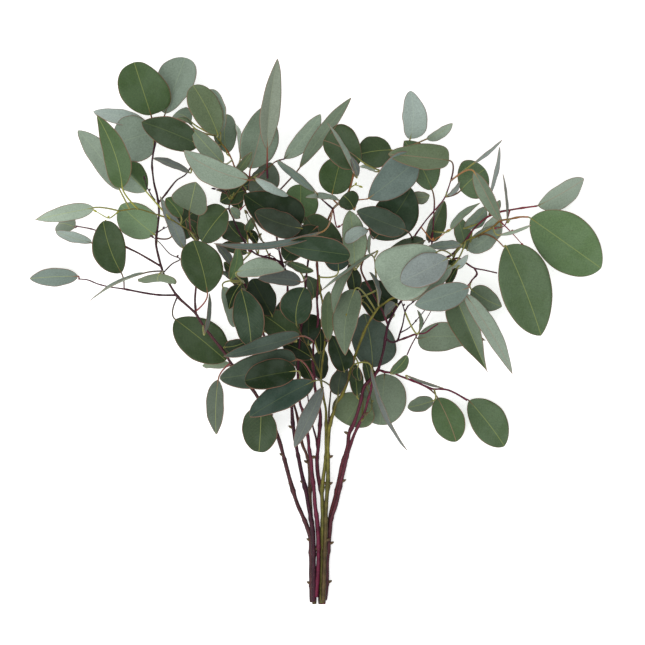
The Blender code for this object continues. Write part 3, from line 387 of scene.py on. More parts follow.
SLIM = {"rods": [
    [(321.6, 603, 7.2), (321.7, 565, 8), (322.3, 535, 9.3), (322.8, 520, 10.8), (322, 495, 15),
     (323, 480, 18), (325, 465, 21), (326, 450, 24), (326, 430, 28), (326, 411, 34), (324, 400, 37),
     (322, 388, 41), (321, 378, 44), (322, 365, 48), (324, 350, 52), (325, 340, 54), (325, 325, 59),
     (323, 310, 63), (322, 300, 66), (320, 290, 69), (319, 275, 74)],
    [(321.2, 376, 44.6), (315, 363, 49), (309, 350, 56), (303, 338, 61), (298, 328, 65)],
], "leaves": [
    (108, (319.1, 277, 73.3), (338.3, 271.1), (330.7, 238.2), 29.9, 32.7, 95.6, 4, 1, 4, "teal", 0.5,
     (55, 56), (45, 68), -1),
    (135, (298, 328, 65), (296.3, 323.7), (304.4, 287.5), 31.7, 34.4, 104.6, 4, 1, 4, "deep", -5, (55, 49),
     (46, 55), -14),
    (142, (325, 340, 54), (328.5, 340.7), (329.3, 291.2), 13.6, 21.3, 88.6, 2, 1, 3, "olive", -6.4,
     (67, 64), (54, 78), -13),
    (148, (322, 388, 41), (323.1, 387.7), (294.5, 447.5), 15.2, 21.7, 66, -12, 1, 4, "grey", -4.5, (61, 60),
     (79, 66), -1),
]}

RIGHT = {"rods": [
    [(323.2, 602, 11.7), (324.4, 565, 12.5), (325.6, 535, 14), (326, 510, 16.5), (327, 495, 18.5),
     (328, 480, 21), (328, 460, 25), (328, 445, 30), (329, 430, 35), (331, 420, 37), (334, 411, 39),
     (336, 403, 40), (341, 397, 41), (345, 388, 43), (349, 375, 46), (352, 365, 49), (358, 348, 54),
     (365, 330, 59), (369, 322, 61), (374, 314, 64), (379, 307, 66), (385, 303, 68), (393, 298, 70),
     (408, 296, 71), (422, 290, 71), (436, 280, 70), (446, 270, 70), (452, 261, 70), (455, 254, 71),
     (458, 248, 73), (466, 241, 75), (475, 237, 75), (484, 232, 74), (493, 227, 72), (500, 221, 70),
     (510, 219, 67), (520, 217, 63), (528, 217, 60)],
    [(329, 430, 35), (329, 411, 41), (330, 400, 43), (331, 390, 45), (333, 382, 47), (337, 372, 49),
     (340, 362, 51), (344, 355, 53)],
    [(379, 307, 66), (378, 300, 69), (377, 290, 72), (376, 275, 76), (374, 258, 81), (368, 255, 83),
     (359, 260, 84)],
    [(475, 237, 75), (484, 234, 75), (491, 236, 76), (497, 240, 77), (504, 247, 78)],
    [(452, 261, 70), (458, 258, 70), (466, 263, 68), (474, 268, 66), (484, 270, 63), (497, 273, 60)],
    [(474, 268, 66), (477, 274, 67), (472, 280, 69), (468, 286, 71)],
], "leaves": [
    (29, (331.7, 387.2, 45.7), (313.6, 381.2), (249.8, 416.9), 26.2, 32.2, 94, -12, 1, 4, "teal", -1,
     (51, 71), (85, 56), -3),
    (53, (510, 219, 67), (507.5, 222), (503, 174), 3.2, 9, 81, 4, 1, 1, "grey", -1, (61, 61), (78, 78)),
    (57, (478, 236, 75), (480.1, 237.7), (500.5, 215), 20.1, 26.2, 48, -6, 1, 3, "pale", 1.1, (54, 57),
     (65, 69), 4),
    (59, (528, 217, 60), (530.8, 218.3), (601, 268.2), 56.1, 57.2, 46, -18, 1, 4, "bright", -0.5, (57, 66),
     (72, 58), -5),
    (60, (504, 247, 78), (505.9, 245.8), (541, 335.5), 54.1, 55.1, 75, -8, -1, 5, "mid", -0.5, (47, 74),
     (78, 68), -4),
    (61, (493, 227, 72), (499, 235), (531, 225), 3.4, 9, 102.2, 2, 1, 1, "pale", 0, (54, 52), (67, 63), -5),
    (62, (500, 221, 70), (500.2, 227.4), (468.5, 250.8), 20.9, 24.8, 58, -8, 1, 3, "pale_grey", -3.3,
     (64, 66), (59, 59), -4),
    (63, (453.8, 256.9, 70.6), (437, 252), (381.9, 282.5), 56, 57, 104.8, 2, 1, 4, "pale_sage", -3.2,
     (63, 60), (32, 28), -1),
    (64, (452, 261, 70), (447.9, 258.4), (400.9, 282.1), 31.5, 36.4, 113.9, 2, 1, 4, "lilac", -2.6,
     (69, 67), (65, 65), -5),
    (65, (455, 254, 71), (460.8, 244.5), (426, 247.6), 9.8, 20.7, 92.1, 2, 1, 3, "ash", -6.7, (57, 57),
     (77, 80), -8),
    (66, (468, 286, 71), (468.7, 287.4), (414.8, 304.9), 25.7, 30.7, 110.9, 4, -1, 4, "ash", 2, (55, 61),
     (69, 71)),
    (67, (449.1, 265.4, 70), (449.9, 270.2), (468.1, 254.8), 8.1, 14.4, 84, 2, 1, 2, "pale_blue", -1.4,
     (63, 60), (70, 71), -2),
    (68, (472, 280, 69), (471.4, 289.4), (502, 306.4), 23.2, 25.9, 44, -8, 1, 3, "sage", 0.6, (44, 56),
     (88, 67), -4),
    (69, (469.2, 284.2, 70.4), (465.1, 294.5), (512.4, 374.1), 18.1, 24.5, 84, -14, -1, 5, "pale", 1.1,
     (55, 48), (89, 87), 6),
    (70, (434.2, 281.3, 70.1), (455, 297), (487.5, 372), 28, 33, 62, -10, 1, 4, "sage", -1.5, (45, 45),
     (125, 125)),
    (77, (352, 365, 49), (371.2, 366.8), (407.1, 450.2), 4.2, 23.3, 72, -10, 1, 6, "grey", -6.4, (67, 61),
     (90, 65), -3),
    (83, (378.9, 306, 66.4), (378.4, 304.2), (369.4, 272.2), 4.2, 23.2, 120.2, 4, 1, 3, "grey", -1.3,
     (59, 56), (70, 52)),
    (88, (360.2, 259.3, 83.9), (353.3, 266.9), (333.7, 313.3), 10.3, 19.6, 108.6, -8, 1, 4, "sage", 1.6,
     (64, 71), (76, 76), 3),
    (89, (364.1, 257.2, 83.4), (354, 268), (349.5, 210.5), 24.5, 29, 110.4, 6, 1, 4, "light", -0.6,
     (72, 57), (65, 68), -1),
    (143, (376.1, 311.1, 64.8), (355, 289.5), (345.2, 355.3), 26, 29, 92.7, -10, 1, 4, "dull_sage", 3.2,
     (42, 42), (82, 82)),
    (144, (341.1, 360.1, 51.6), (344.1, 370.9), (331, 335), 23, 27, 73.6, 2, 1, 3, "very_dark", -0.4,
     (52, 30), (68, 77), 2),
    (145, (335.2, 406.1, 39.6), (337.9, 395.4), (344, 363), 17.8, 23.1, 60.4, -6, 1, 3, "dark_grey", -4.3,
     (28, 72), (100, 56), -22),
    (147, (354.8, 356.9, 51.4), (358.1, 366.7), (359.7, 380.8), 9.2, 13.9, 65.8, -4, 1, 2, "very_dark", 0.2,
     (62, 59), (69, 68), -2),
    (168, (377, 290, 72), (354, 294), (349, 264), 15, 18, 84, 4, 1, 3, "very_dark"),
    (169, (374, 258, 81), (377, 251), (321, 291), 3.2, 9, 118, 2, 1, 1, "pale_grey"),
    (170, (452, 261, 70), (457, 261), (446, 270), 9, 11, 78, 2, 1, 2, "dark"),
    (171, (466, 263, 68), (457, 268), (447, 288), 8, 10, 88, 2, 1, 2, "dark"),
    (172, (466, 241, 75), (452, 266), (408, 300), 22, 25, 98, 2, 1, 3, "pale", 0, (60, 60), (60, 60)),
]}

FAR_RIGHT = {"rods": [
    [(323.4, 604, 2.6), (325, 565, 3.4), (327.5, 535, 5), (330, 518, 6.5), (333, 505, 8), (337, 490, 10),
     (340, 475, 13), (342, 465, 15), (345, 455, 17), (348, 445, 20), (349, 434, 23), (354, 423, 26),
     (358, 411, 30), (361, 400, 33), (363, 390, 35), (366, 384, 36), (371, 379, 37), (375, 374, 39),
     (378, 370, 40), (381, 360, 42), (384, 348, 45), (386, 335, 48), (388, 325, 50), (391, 318, 52),
     (396, 308, 54), (402, 300, 56), (410, 288, 58), (420, 276, 60), (432, 266, 61), (443, 259, 62),
     (452, 254.5, 63), (460, 246, 64), (466, 240, 65), (472, 231, 65), (482, 221, 65), (491, 215, 64),
     (499, 212, 63), (510, 210, 60), (522, 208, 56), (537, 206, 48)],
    [(388, 325, 50), (383, 312, 52), (378, 303, 53), (372, 292, 54), (366, 281, 55), (361, 269, 56),
     (364, 258, 58), (367, 246, 61), (371, 236, 65), (376, 218, 71), (380, 200, 77), (382, 185, 82),
     (384, 172, 87), (390, 160, 91), (396, 151, 94)],
    [(410, 288, 58), (408, 275, 61), (408, 260, 65), (411, 248, 69), (413, 240, 72), (416, 234, 74),
     (421, 227, 76), (427, 219, 79), (434, 211, 82), (440, 204, 84), (444, 199, 86), (447, 192, 88),
     (451, 180, 91)],
    [(432, 266, 61), (432, 252, 66), (432, 240, 70), (433, 230, 73), (434, 211, 81)],
    [(385.5, 337.9, 47.3), (391, 342, 48), (397, 341, 50), (400, 333, 53), (403, 323, 56), (405, 312, 59),
     (408, 306, 61)],
    [(397, 341, 50), (408, 337, 52), (416, 334, 54), (425, 333, 56), (432, 328, 58), (438, 324, 60)],
], "leaves": [
    (39, (384, 172, 87), (360.9, 160.8), (323.6, 140.4), 40.3, 41.2, 113.4, 4, 1, 4, "moss", 1.4, (46, 73),
     (63, 30), 6),
    (40, (390, 160, 91), (391.5, 150), (358.5, 154.5), 33, 36, 86.5, 4, 1, 3, "moss", -0.2, (50, 50),
     (42, 42), -13),
    (41, (384.8, 170.4, 87.5), (374.9, 171.5), (359.8, 166.7), 5.5, 18.5, 81, 0, 1, 3, "pale", -8.9,
     (50, 38), (57, 55), -13),
    (44, (451, 180, 91), (449, 160.5), (388.3, 154.3), 27.3, 33.2, 124.9, 4, 1, 4, "olive", -2.5, (50, 22),
     (72, 62), -2),
    (46, (434, 211, 82), (432, 189.6), (404.2, 140.7), 31.2, 34.1, 92.3, 4, 1, 4, "mid", 0.2, (58, 61),
     (76, 73), 12),
    (47, (394.8, 152.8, 93.4), (410.1, 138.9), (410.8, 90.8), 25.9, 31.1, 93, 12, 1, 4, "pale_blue", 0.5,
     (60, 31), (54, 72), 6),
    (48, (394.8, 152.8, 93.4), (426.8, 139), (452.6, 123.3), 9.7, 17.5, 97.6, 2, 1, 3, "pale", -1.5,
     (59, 54), (70, 70), -2),
    (49, (450.7, 180.9, 90.8), (474, 163), (502, 140), 3.4, 9, 126.2, 2, 1, 1, "lilac", -1, (56, 48),
     (72, 65), -5),
    (50, (444.9, 196.9, 86.6), (460.6, 190.4), (485.1, 169), 39.2, 40.2, 81, 2, 1, 4, "mid", -2.1, (76, 45),
     (49, 59)),
    (51, (450.7, 180.9, 90.8), (474.4, 172.1), (499.9, 220.9), 13.7, 20, 133.1, -12, 1, 6, "sage", -5,
     (58, 59), (78, 76), -14),
    (52, (491, 215, 64), (489, 196), (499.5, 147), 5, 13, 104.3, 10, 1, 1.5, "lilac", 0, (60, 54), (72, 61),
     -7),
    (54, (432.9, 231, 72.7), (451, 229.3), (480.3, 202.8), 7.2, 18, 118, 4, -1, 3, "grey_green", 1.6,
     (43, 50), (93, 90), 5),
    (55, (472, 231, 65), (466.8, 249), (457.6, 217.1), 19.2, 26.9, 40, -6, 1, 3, "mid", -3.3, (37, 56),
     (79, 63), -11),
    (56, (480, 223, 65), (464.7, 227.8), (485.4, 206.8), 15.4, 21.1, 54, 6, 1, 3, "pale_grey", 0.7,
     (62, 58), (63, 63), -1),
    (58, (537, 206, 48), (538, 205.5), (584, 179), 24, 29, 20.4, -40, 1, 4, "pale", -1.2, (65, 73),
     (80, 87), 12),
    (71, (416, 334, 54), (418, 338.3), (485.4, 340.4), 30.1, 35.1, 34, -8, 1, 4, "sage", -6.2, (45, 44),
     (94, 115), -5),
    (80, (375.8, 372.9, 39.3), (372.5, 367.4), (364.4, 313.5), 44.8, 47.8, 20, -4, 1, 4, "slate", 0.6,
     (60, 38), (67, 75), 10),
    (81, (391, 318, 52), (394, 314), (361.1, 282.5), 38, 42, 26, -4, 1, 4, "very_dark", 2.1, (36, 61),
     (63, 75), -25),
    (82, (397.7, 305.8, 54.6), (395.7, 304.4), (385.2, 316.1), 8.8, 24.3, 62.4, -4, 1, 2, "grey", -0.2,
     (49, 44), (47, 57), -1),
    (91, (370.2, 238.1, 64.2), (367.8, 229.4), (345.6, 242.7), 13.5, 20.8, 127.4, 2, 1, 3, "pale_blue",
     -0.3, (55, 57), (46, 47), -5),
    (93, (413, 240, 72), (405.1, 230.1), (356.7, 211.1), 26.7, 36.4, 122.9, 4, 1, 4, "deep_sage", -4.9,
     (51, 55), (72, 68), -13),
    (95, (371, 236, 65), (374.4, 238.4), (411.3, 188.1), 43, 45.9, 96, 2, 1, 4, "deep", 1.3, (53, 65),
     (70, 64), -1),
    (96, (380, 200, 77), (413, 195.6), (429.7, 195.4), 12.5, 18.2, 80, 0, 1, 2, "grey_olive", 0.5, (45, 53),
     (77, 57), -3),
    (97, (432.9, 231, 72.7), (428.8, 241.3), (444.4, 200.8), 18.1, 26.2, 64, 4, 1, 4, "dull_sage", -4,
     (42, 38), (72, 70), -11),
    (98, (412.2, 243.1, 70.9), (424.3, 241), (390.7, 247.5), 13.1, 25.2, 78, 0, 1, 3, "dark", -6.4,
     (53, 46), (73, 85), -13),
    (150, (405, 312, 59), (419, 332), (417.5, 310), 4.5, 12, 66, 2, 1, 2, "sage", 0.8, (60, 59), (59, 77),
     2),
    (173, (447, 192, 88), (447, 196), (459.5, 181.5), 5, 10, 96, 2, 1, 2, "lilac"),
    (174, (361, 400, 33), (357, 396), (352, 362), 15, 18, 30, 2, 1, 2, "dark"),
    (176, (371, 236, 65), (372, 232), (370, 255), 3.4, 8, 92, 2, 1, 2, "pale_grey"),
    (177, (371, 379, 37), (370, 385), (364, 360), 12, 15, 32, 2, 1, 2, "dark"),
    (180, (491, 215, 64), (489, 214), (500, 200), 8, 11, 60, 2, 1, 2, "grey_green"),
]}

LOW_RIGHT = {"rods": [
    [(325, 600, 7.2), (326.8, 582, 7.7), (327.2, 565, 8.2), (329.5, 535, 9.8), (331, 520, 11.4),
     (335, 508, 13), (338, 497, 15), (341, 482, 17.5), (344, 470, 21), (347, 457, 25), (350, 447, 28),
     (354, 435, 32), (360, 422, 37), (365, 411, 41), (368, 400, 44), (371, 390, 46), (372, 383, 48),
     (378, 371, 50), (385, 372, 50), (393, 373, 48), (400, 376, 46), (408, 379, 43), (416, 382, 40),
     (425, 386, 37), (433, 389, 33), (441, 389, 29), (448, 390, 26), (455, 393, 22), (462, 397, 18),
     (467, 400, 15)],
], "leaves": [
    (72, (395.1, 373.9, 47.4), (391, 373), (407, 355.5), 12, 16, 62, 4, 1, 2, "mid", 0.4, (50, 50),
     (50, 50)),
    (73, (408, 379, 43), (406.5, 375.5), (443.5, 388), 3, 8, 56, 0, 1, 0.5, "grey", 0, (58, 64), (84, 64),
     7),
    (74, (434, 389, 32.5), (433.4, 400.8), (407.6, 407.6), 14.8, 20, 44, -4, 1, 3, "sage", -3.2, (50, 54),
     (64, 65), -5),
    (75, (420.9, 384.2, 38.4), (437.7, 397.8), (456.2, 441.6), 31.8, 34.6, 16, -14, 1, 4, "leaf", -2.9,
     (49, 62), (65, 61), -6),
    (76, (465.8, 399.3, 15.7), (469, 400.6), (504.3, 446.2), 37.1, 38.1, 5.3, -10, -1, 4, "mid", -0.4,
     (60, 69), (67, 68), -4),
    (78, (384, 371.9, 50), (384.7, 373.8), (379.7, 424.9), 45.8, 46.7, 3.5, -6, 1, 2, "sage", -0.7,
     (40, 59), (49, 47), -9),
    (79, (362.2, 417.1, 38.8), (361.2, 394.9), (344.9, 423.6), 44.9, 45.9, 9, 0, 1, 2, "olive", -1.8,
     (59, 50), (52, 38), -3),
]}

# Each stem's table, its slot, and the colours of each of its rods from foot to tip
STEMS = {
    "stem_far_left": (FAR_LEFT, "far_left_foliage", (
        ("purple_brown", "purple_brown", "dark_purple"),
        ("purple_brown", "dark_purple", "yellow_olive", "yellow_olive"),
        ("purple_brown", "plum"), ("dark_purple", "plum"), ("purple_brown", "dark_purple"))),
    "stem_left": (LEFT, "left_foliage", (
        ("dark_purple", "dark_purple", "dark_purple", "plum"),
        ("dark_purple", "dark_purple", "dark_purple", "yellow_olive", "brown_red"),
        ("olive_brown", "orange_brown", "orange", "yellow"))),
    "stem_low_left": (LOW_LEFT, "low_left_foliage", (("olive_brown", "plum"),)),
    "stem_tall": (TALL, "tall_foliage", (("magenta", "plum", "dark_purple"),)),
    "stem_middle": (MIDDLE, "middle_foliage", (
        ("purple_brown", "plum", "plum", "orange_brown"), ("dark_purple", "plum"),
        ("orange_brown", "orange"), ("dark_purple", "plum"))),
    "stem_slim": (SLIM, "slim_foliage", (("olive", "yellow_olive"), ("olive", "olive_brown"))),
    "stem_right": (RIGHT, "right_foliage", (
        ("olive_brown", "olive_brown", "olive", "yellow_olive", "yellow_olive", "yellow_olive",
         "yellow_olive", "yellow_olive", "orange"),
        ("dark_purple", "olive"), ("yellow_olive", "yellow_olive"), ("olive_brown", "orange_brown"),
        ("plum", "plum"), ("plum", "plum"))),
    "stem_far_right": (FAR_RIGHT, "far_right_foliage", (
        ("brown_red", "brown_red", "plum", "dark_purple", "plum", "red"), ("plum", "orange_brown"),
        ("plum", "magenta"), ("magenta", "plum"), ("dark_purple", "dark_purple"), ("plum", "magenta"))),
    "stem_low_right": (LOW_RIGHT, "low_right_foliage", (("purple_brown", "magenta"),)),
}

# Leaves folded along the midrib, in degrees for each half
FOLDS = {70: 24, 97: 26, 2: 16, 51: 18, 31: 20}

# Painted shade: the darker colour laid on one half of a leaf, for the shade that falls on that half along
# its fold or from a leaf above
SHADED_HALVES = {70: "moss", 97: "moss", 7: "leaf"}

# Leaves with a notch in the tip, in millimetres
NOTCHES = {1: 1.6, 30: 2.2}

# Petioles that aren't the usual yellow-green, by colour
PETIOLE_TONES = {
    "red": (31, 132, 113, 32, 26, 27, 25, 66, 69, 91, 20, 107, 13),
    "plum": (12, 50, 44, 95, 93, 75, 76, 10, 11, 14, 97, 98, 46, 37, 36, 142, 71, 78),
    "dark_purple": (21, 100, 104, 103, 148, 35, 119, 127, 133),
    "orange": (43, 38, 42, 51, 109, 106),
    "yellow": (114, 117, 118, 16, 4, 7),
    "brown_red": (1, 2, 121, 120, 122, 125, 30, 149, 165, 166, 23),
    "tan": (48, 58, 111, 110),
    "olive": (67, 135, 137, 29, 102, 79, 144, 145, 80),
}

# Midribs that are pink, and those that hardly show, the others being yellow-green
PINK_RIBS = {32, 44, 113, 51, 39, 58, 106, 69, 75}
FAINT_RIBS = {
    2, 3, 5, 6, 8, 26, 27, 28, 29, 31, 35, 36, 37, 38, 43, 47, 62, 63, 64, 66, 71, 78, 79, 81, 88, 91, 93,
    95, 100, 101, 103, 104, 107, 112, 131, 132, 134, 138, 141, 142, 143, 144, 145, 148, 169,
}

# Each stem's young shoots, which end in buds: the colour and the places of each one
SHOOTS = {
    "stem_far_left": [
        ("yellow", [(119, 211, 66), (113, 216, 68), (108, 218, 70), (97, 212, 72)]),
        ("yellow", [(106, 220, 52), (98, 231, 54)]),
        ("dark_purple", [(155, 200, 57), (152, 196, 64), (147, 187, 70), (145, 180, 73)]),
        ("dark_purple", [(158, 232, 58), (163, 229, 63), (169, 226, 66)]),
        ("purple_brown", [(164, 272, 60), (172, 264, 66), (180, 259, 71), (170, 254, 76), (160, 243, 79),
                          (154, 238, 80)]),
    ],
    "stem_left": [
        ("dark_purple", [(233, 198, 82), (227, 194, 88), (221, 190, 92), (216, 189, 94)]),
        ("yellow_olive", [(270, 258, 66), (262, 240, 72), (256, 226, 76), (252, 214, 78)]),
        ("olive", [(258, 255, 69), (252, 240, 74), (249, 226, 77), (246, 214, 79)]),
        ("red", [(233, 218, 77), (241, 209, 84), (248, 202, 88)]),
        ("plum", [(284, 268, 60), (272, 256, 66), (262, 256, 70), (252, 252, 73)]),
        ("olive_brown", [(279, 250, 64), (262, 241, 76), (258, 232, 84), (253, 222, 90), (248, 214, 94)]),
    ],
    "stem_middle": [
        ("yellow", [(350, 188, 90), (355, 185, 94), (359, 186, 97)]),
        ("red", [(333, 209, 82), (337, 227, 92), (345, 222, 97), (358, 214, 100)]),
    ],
    "stem_far_right": [
        ("orange", [(421, 227, 76), (432, 240, 88), (437, 238, 94), (441, 236, 98), (446, 232, 101)]),
        ("red", [(510, 210, 60), (505, 225, 63), (497, 228, 66)]),
        ("olive", [(366, 384, 36), (372, 406, 38), (364, 418, 40)]),
        ("dark_purple", [(408, 306, 61), (412, 303, 60), (416, 300, 59)]),
        ("dark_purple", [(405, 312, 59), (403, 306, 60), (401, 300, 62)]),
        ("dark_purple", [(400, 333, 53), (410, 327, 56), (420, 316, 60), (428, 306, 62)]),
    ],
    "stem_right": [
        ("red", [(500, 221, 70), (512, 233, 74), (521, 243, 77)]),
        ("yellow_olive", [(374, 314, 64), (364, 302, 78), (354, 303, 88), (348, 312, 94)]),
    ],
    "stem_low_right": [
        ("plum", [(407, 355, 60), (412, 344, 60), (420, 330, 60), (431, 311, 62)]),
    ],
}

# Scars where a stem's lower leaves fell off: the place on its middle line, and the side
SCARS = {
    "stem_far_left": [
        ((311.5, 541, 9), -1), ((311.7, 584, 7.6), -1), ((284.6, 456, 22.2), -1),
        ((293.5, 485.9, 17.3), -1), ((268, 417, 32), 1),
    ],
    "stem_left": [((293.6, 428.3, 32.4), -1), ((305.2, 483.4, 21.3), -1)],
    "stem_tall": [((310.8, 458.5, 24.2), 1), ((318.6, 550, 12.6), -1)],
    "stem_middle": [((317.2, 458.3, 14.3), -1)],
    "stem_slim": [((322.7, 484.5, 17.1), 1)],
    "stem_right": [((327.7, 484.8, 20.2), 1), ((328, 458, 25.7), 1), ((325.3, 541, 13.7), 1)],
    "stem_low_right": [
        ((328.9, 544.2, 9.3), 1), ((327, 582.9, 7.7), 1), ((341, 482, 17.5), 1), ((363, 415, 40), 1),
    ],
    "stem_far_right": [((349, 434.1, 23), -1)],
    "stem_low_left": [((309, 463, 13), -1)],
}

# Colours as they look on a screen: those of the leaves, and those of bark, petioles and shoots. A program
# moved the leaf tones towards the photo's colours, and chose among them for some of the leaves.
# The darkest leaf tones, such as very_dark and deep, are partly painted shade: they also carry the shade
# deep inside the bunch
LEAF_TONES = {
    "very_dark": (25, 42, 18), "dark": (50, 67, 40), "moss": (62, 80, 50), "leaf": (71, 94, 56),
    "mid": (84, 105, 72), "bright": (96, 122, 81), "light": (139, 157, 129), "olive": (100, 116, 85),
    "dark_olive": (58, 70, 44), "sage": (109, 124, 103), "dull_sage": (93, 107, 86),
    "grey_green": (121, 137, 118), "pale_sage": (148, 165, 146), "pale_grey": (134, 150, 134),
    "grey_olive": (124, 134, 112), "grey": (101, 108, 104), "dark_grey": (53, 63, 49),
    "teal": (47, 66, 55), "slate": (76, 91, 80), "blue_grey": (100, 116, 109), "ash": (113, 128, 119),
    "lilac": (139, 149, 146), "pale_blue": (167, 182, 174), "pale": (156, 172, 154), "deep": (35, 55, 33),
    "deep_sage": (65, 80, 65), "dark_sage": (81, 92, 77), "soft_green": (109, 133, 98),
    "stone": (139, 149, 131),
}
TWIG_TONES = {
    "purple_brown": (72, 40, 44), "dark_purple": (54, 20, 34), "plum": (86, 34, 50),
    "olive_brown": (78, 64, 38), "magenta": (98, 26, 52), "olive": (92, 90, 40),
    "yellow_olive": (112, 106, 46), "brown_red": (92, 36, 42), "orange_brown": (134, 88, 58),
    "yellow": (158, 158, 66), "red": (136, 52, 62), "orange": (168, 108, 62), "tan": (150, 120, 88),
}


def seen_colour(red, green, blue):
    """Linear values of a colour that is given as it looks on a screen, from 0 to 255."""
    share = np.array((red, green, blue)) / 255
    return tuple(np.where(share <= 0.04045, share / 12.92, ((share + 0.055) / 1.055) ** 2.4))


def tone_of(tones, name):
    """A tone of a table as an array of linear values."""
    return np.array(seen_colour(*tones[name]))


def length_property(name, description, value, least, most):
    """A length in millimetres that a user may change."""
    return FloatProperty(
        name=name, description=f"{description}, in millimetres", default=value, min=least, max=most
    )


def colour_property(name, description, value):
    """A colour that a user may change."""
    return FloatVectorProperty(
        name=name, description=description, default=seen_colour(*value), size=3, subtype="COLOR",
        min=0, max=1,
    )


class EucalyptusSizes(PropertyGroup):
    """Sizes of the pieces that the photo doesn't give."""

    blade: length_property("Blade thickness", "Thickness of a leaf at its midrib", 0.6, 0.3, 1.5)
    wave: length_property("Margin wave", "Height of the waves along a leaf's margin", 0.8, 0, 3)
    vein_gap: length_property("Vein gap", "Distance between side veins along the midrib", 4.2, 1, 12)
    stem_foot: length_property("Stem radius at the cut", "Radius of a stem at its cut end", 2.2, 1, 5)
    stem_tip: length_property("Stem radius at the tip", "Radius of a stem at its leafy end", 0.9, 0.3, 3)
    twig_foot: length_property("Twig radius at the fork", "Radius of a twig where it forks", 1.05, 0.3, 3)
    twig_tip: length_property("Twig radius at the tip", "Radius of a twig at its end", 0.62, 0.2, 2)
    petiole: length_property("Petiole radius", "Radius of a leaf's stalk", 0.74, 0.2, 1.5)


class EucalyptusColours(PropertyGroup):
    """Colours that are laid over each leaf's and each stem's own tone."""

    green_rib: colour_property("Green midrib", "Midrib of most leaves", (158, 166, 92))
    pink_rib: colour_property("Pink midrib", "Midrib of some leaves", (170, 120, 104))
    margin: colour_property("Leaf margin", "Thin rim round a blade", (140, 96, 78))
    bloom: colour_property("Wax bloom", "Pale wax on the leaves", (160, 174, 166))
    speck: colour_property("Specks", "Small dry specks on the leaves", (96, 74, 56))
    cut_wood: colour_property("Cut wood", "The cut end of a stem", (196, 178, 130))
    scar: colour_property("Leaf scar", "The scar of a fallen leaf", (92, 74, 52))
    petiole: colour_property("Petiole", "Stalk of most leaves", (142, 140, 74))
    floor: colour_property("Floor", "The surface that the bunch lies on", (250, 250, 250))


def sizes():
    """The sizes that are set in the sidebar."""
    return bpy.context.scene.eucalyptus_sizes


def colours():
    """The colours that are set in the sidebar."""
    return bpy.context.scene.eucalyptus_colours


def placed(points):
    """Turn the photo's places with heights into true places, along the eye's lines of sight."""
    x, y, height = np.asarray(points, float).T
    near = 1 - (height - SHARP_HEIGHT) / EYE_HEIGHT
    across = (x - EYE_X) * near + EYE_X - ORIGIN_X
    up_the_photo = (EYE_Y - y) * near + ORIGIN_Y - EYE_Y
    return np.stack([across, up_the_photo, height], -1)


def unit(vectors):
    """Each vector's direction."""
    return vectors / np.linalg.norm(vectors, axis=-1, keepdims=True)


def arch(way):
    """A parabola that is 1 halfway along and 0 at both ends."""
    return 4 * way * (1 - way)


def smooth_path(points, step):
    """Places about a step apart on a curve through the points.

    Between two points the curve is the cubic whose slope at each is half the way from the point before
    to the point after.
    """
    points = np.asarray(points, float)
    before = np.vstack([2 * points[0] - points[1], points[:-1]])
    after = np.vstack([points[1:], 2 * points[-1] - points[-2]])
    slopes = (after - before) / 2
    pieces = []
    for start, end, leaving, arriving in zip(points[:-1], points[1:], slopes[:-1], slopes[1:]):
        count = max(int(np.linalg.norm(end - start) / step), 1)
        way = (np.arange(count) / count)[:, None]
        pieces.append(
            (2 * way**3 - 3 * way**2 + 1) * start + (way**3 - 2 * way**2 + way) * leaving
            + (3 * way**2 - 2 * way**3) * end + (way**3 - way**2) * arriving
        )
    return np.vstack(pieces + [points[-1:]])


def tube(path, radii, sides):
    """Points and quads of a closed tube: a circle of each radius square to the path, and a flat cap on
    each end made of strips. The outward way is the cosine of the turn along the level side, plus its
    sine along the side that is square to both the level side and the path.
    """
    ahead = unit(np.gradient(path, axis=0))
    level = unit(np.cross(ahead, (0, 0, 1)) + 1e-9)
    upper = np.cross(level, ahead)
    turn = np.arange(sides) / sides * 2 * np.pi
    spokes = np.cos(turn)[None, :, None] * level[:, None] + np.sin(turn)[None, :, None] * upper[:, None]
    points = path[:, None] + spokes * radii[:, None, None]
    ring = np.arange(len(path) - 1)[:, None] * sides
    side = np.arange(sides)[None, :]
    after = (side + 1) % sides
    walls = np.stack([ring + side, ring + sides + side, ring + sides + after, ring + after], -1)
    strip = np.arange(sides // 2 - 1)
    cap = np.stack([strip, strip + 1, sides - 2 - strip, sides - 1 - strip], -1)
    last = (len(path) - 1) * sides
    return points.reshape(-1, 3), np.vstack([walls.reshape(-1, 4), cap, last + cap[:, ::-1]])


def blade_axes(leaf):
    """The blade's base, its length, and the directions along, across and out of its face."""
    ends = placed([(*leaf.base, leaf.level - leaf.rise / 2), (*leaf.tip, leaf.level + leaf.rise / 2)])
    length = np.linalg.norm(ends[1] - ends[0])
    along = unit(ends[1] - ends[0])
    level_side = unit(np.cross(along, (0, 0, 1)))
    turn = leaf.side * np.arccos(min(leaf.seen / leaf.broad, 1.0))
    across = level_side * np.cos(turn) + np.cross(along, level_side) * np.sin(turn)
    return ends[0], length, along, across, np.cross(across, along)


def blade_shape(leaf, way, out):
    """Half width over its largest at each part of the way from base to tip.

    It swells as a power of the way from the base, and closes as a power of the way to the tip. Each half
    has powers of its own, the left half's first.
    """
    shapes = []
    for swell, close in zip(np.array(leaf.swell) / 100, np.array(leaf.close) / 100):
        widest = swell / (swell + close)
        shapes.append((way / widest) ** swell * ((1 - way) / (1 - widest)) ** close)
    return np.maximum(np.where(out < 0, *shapes), LEAST_SHAPE)


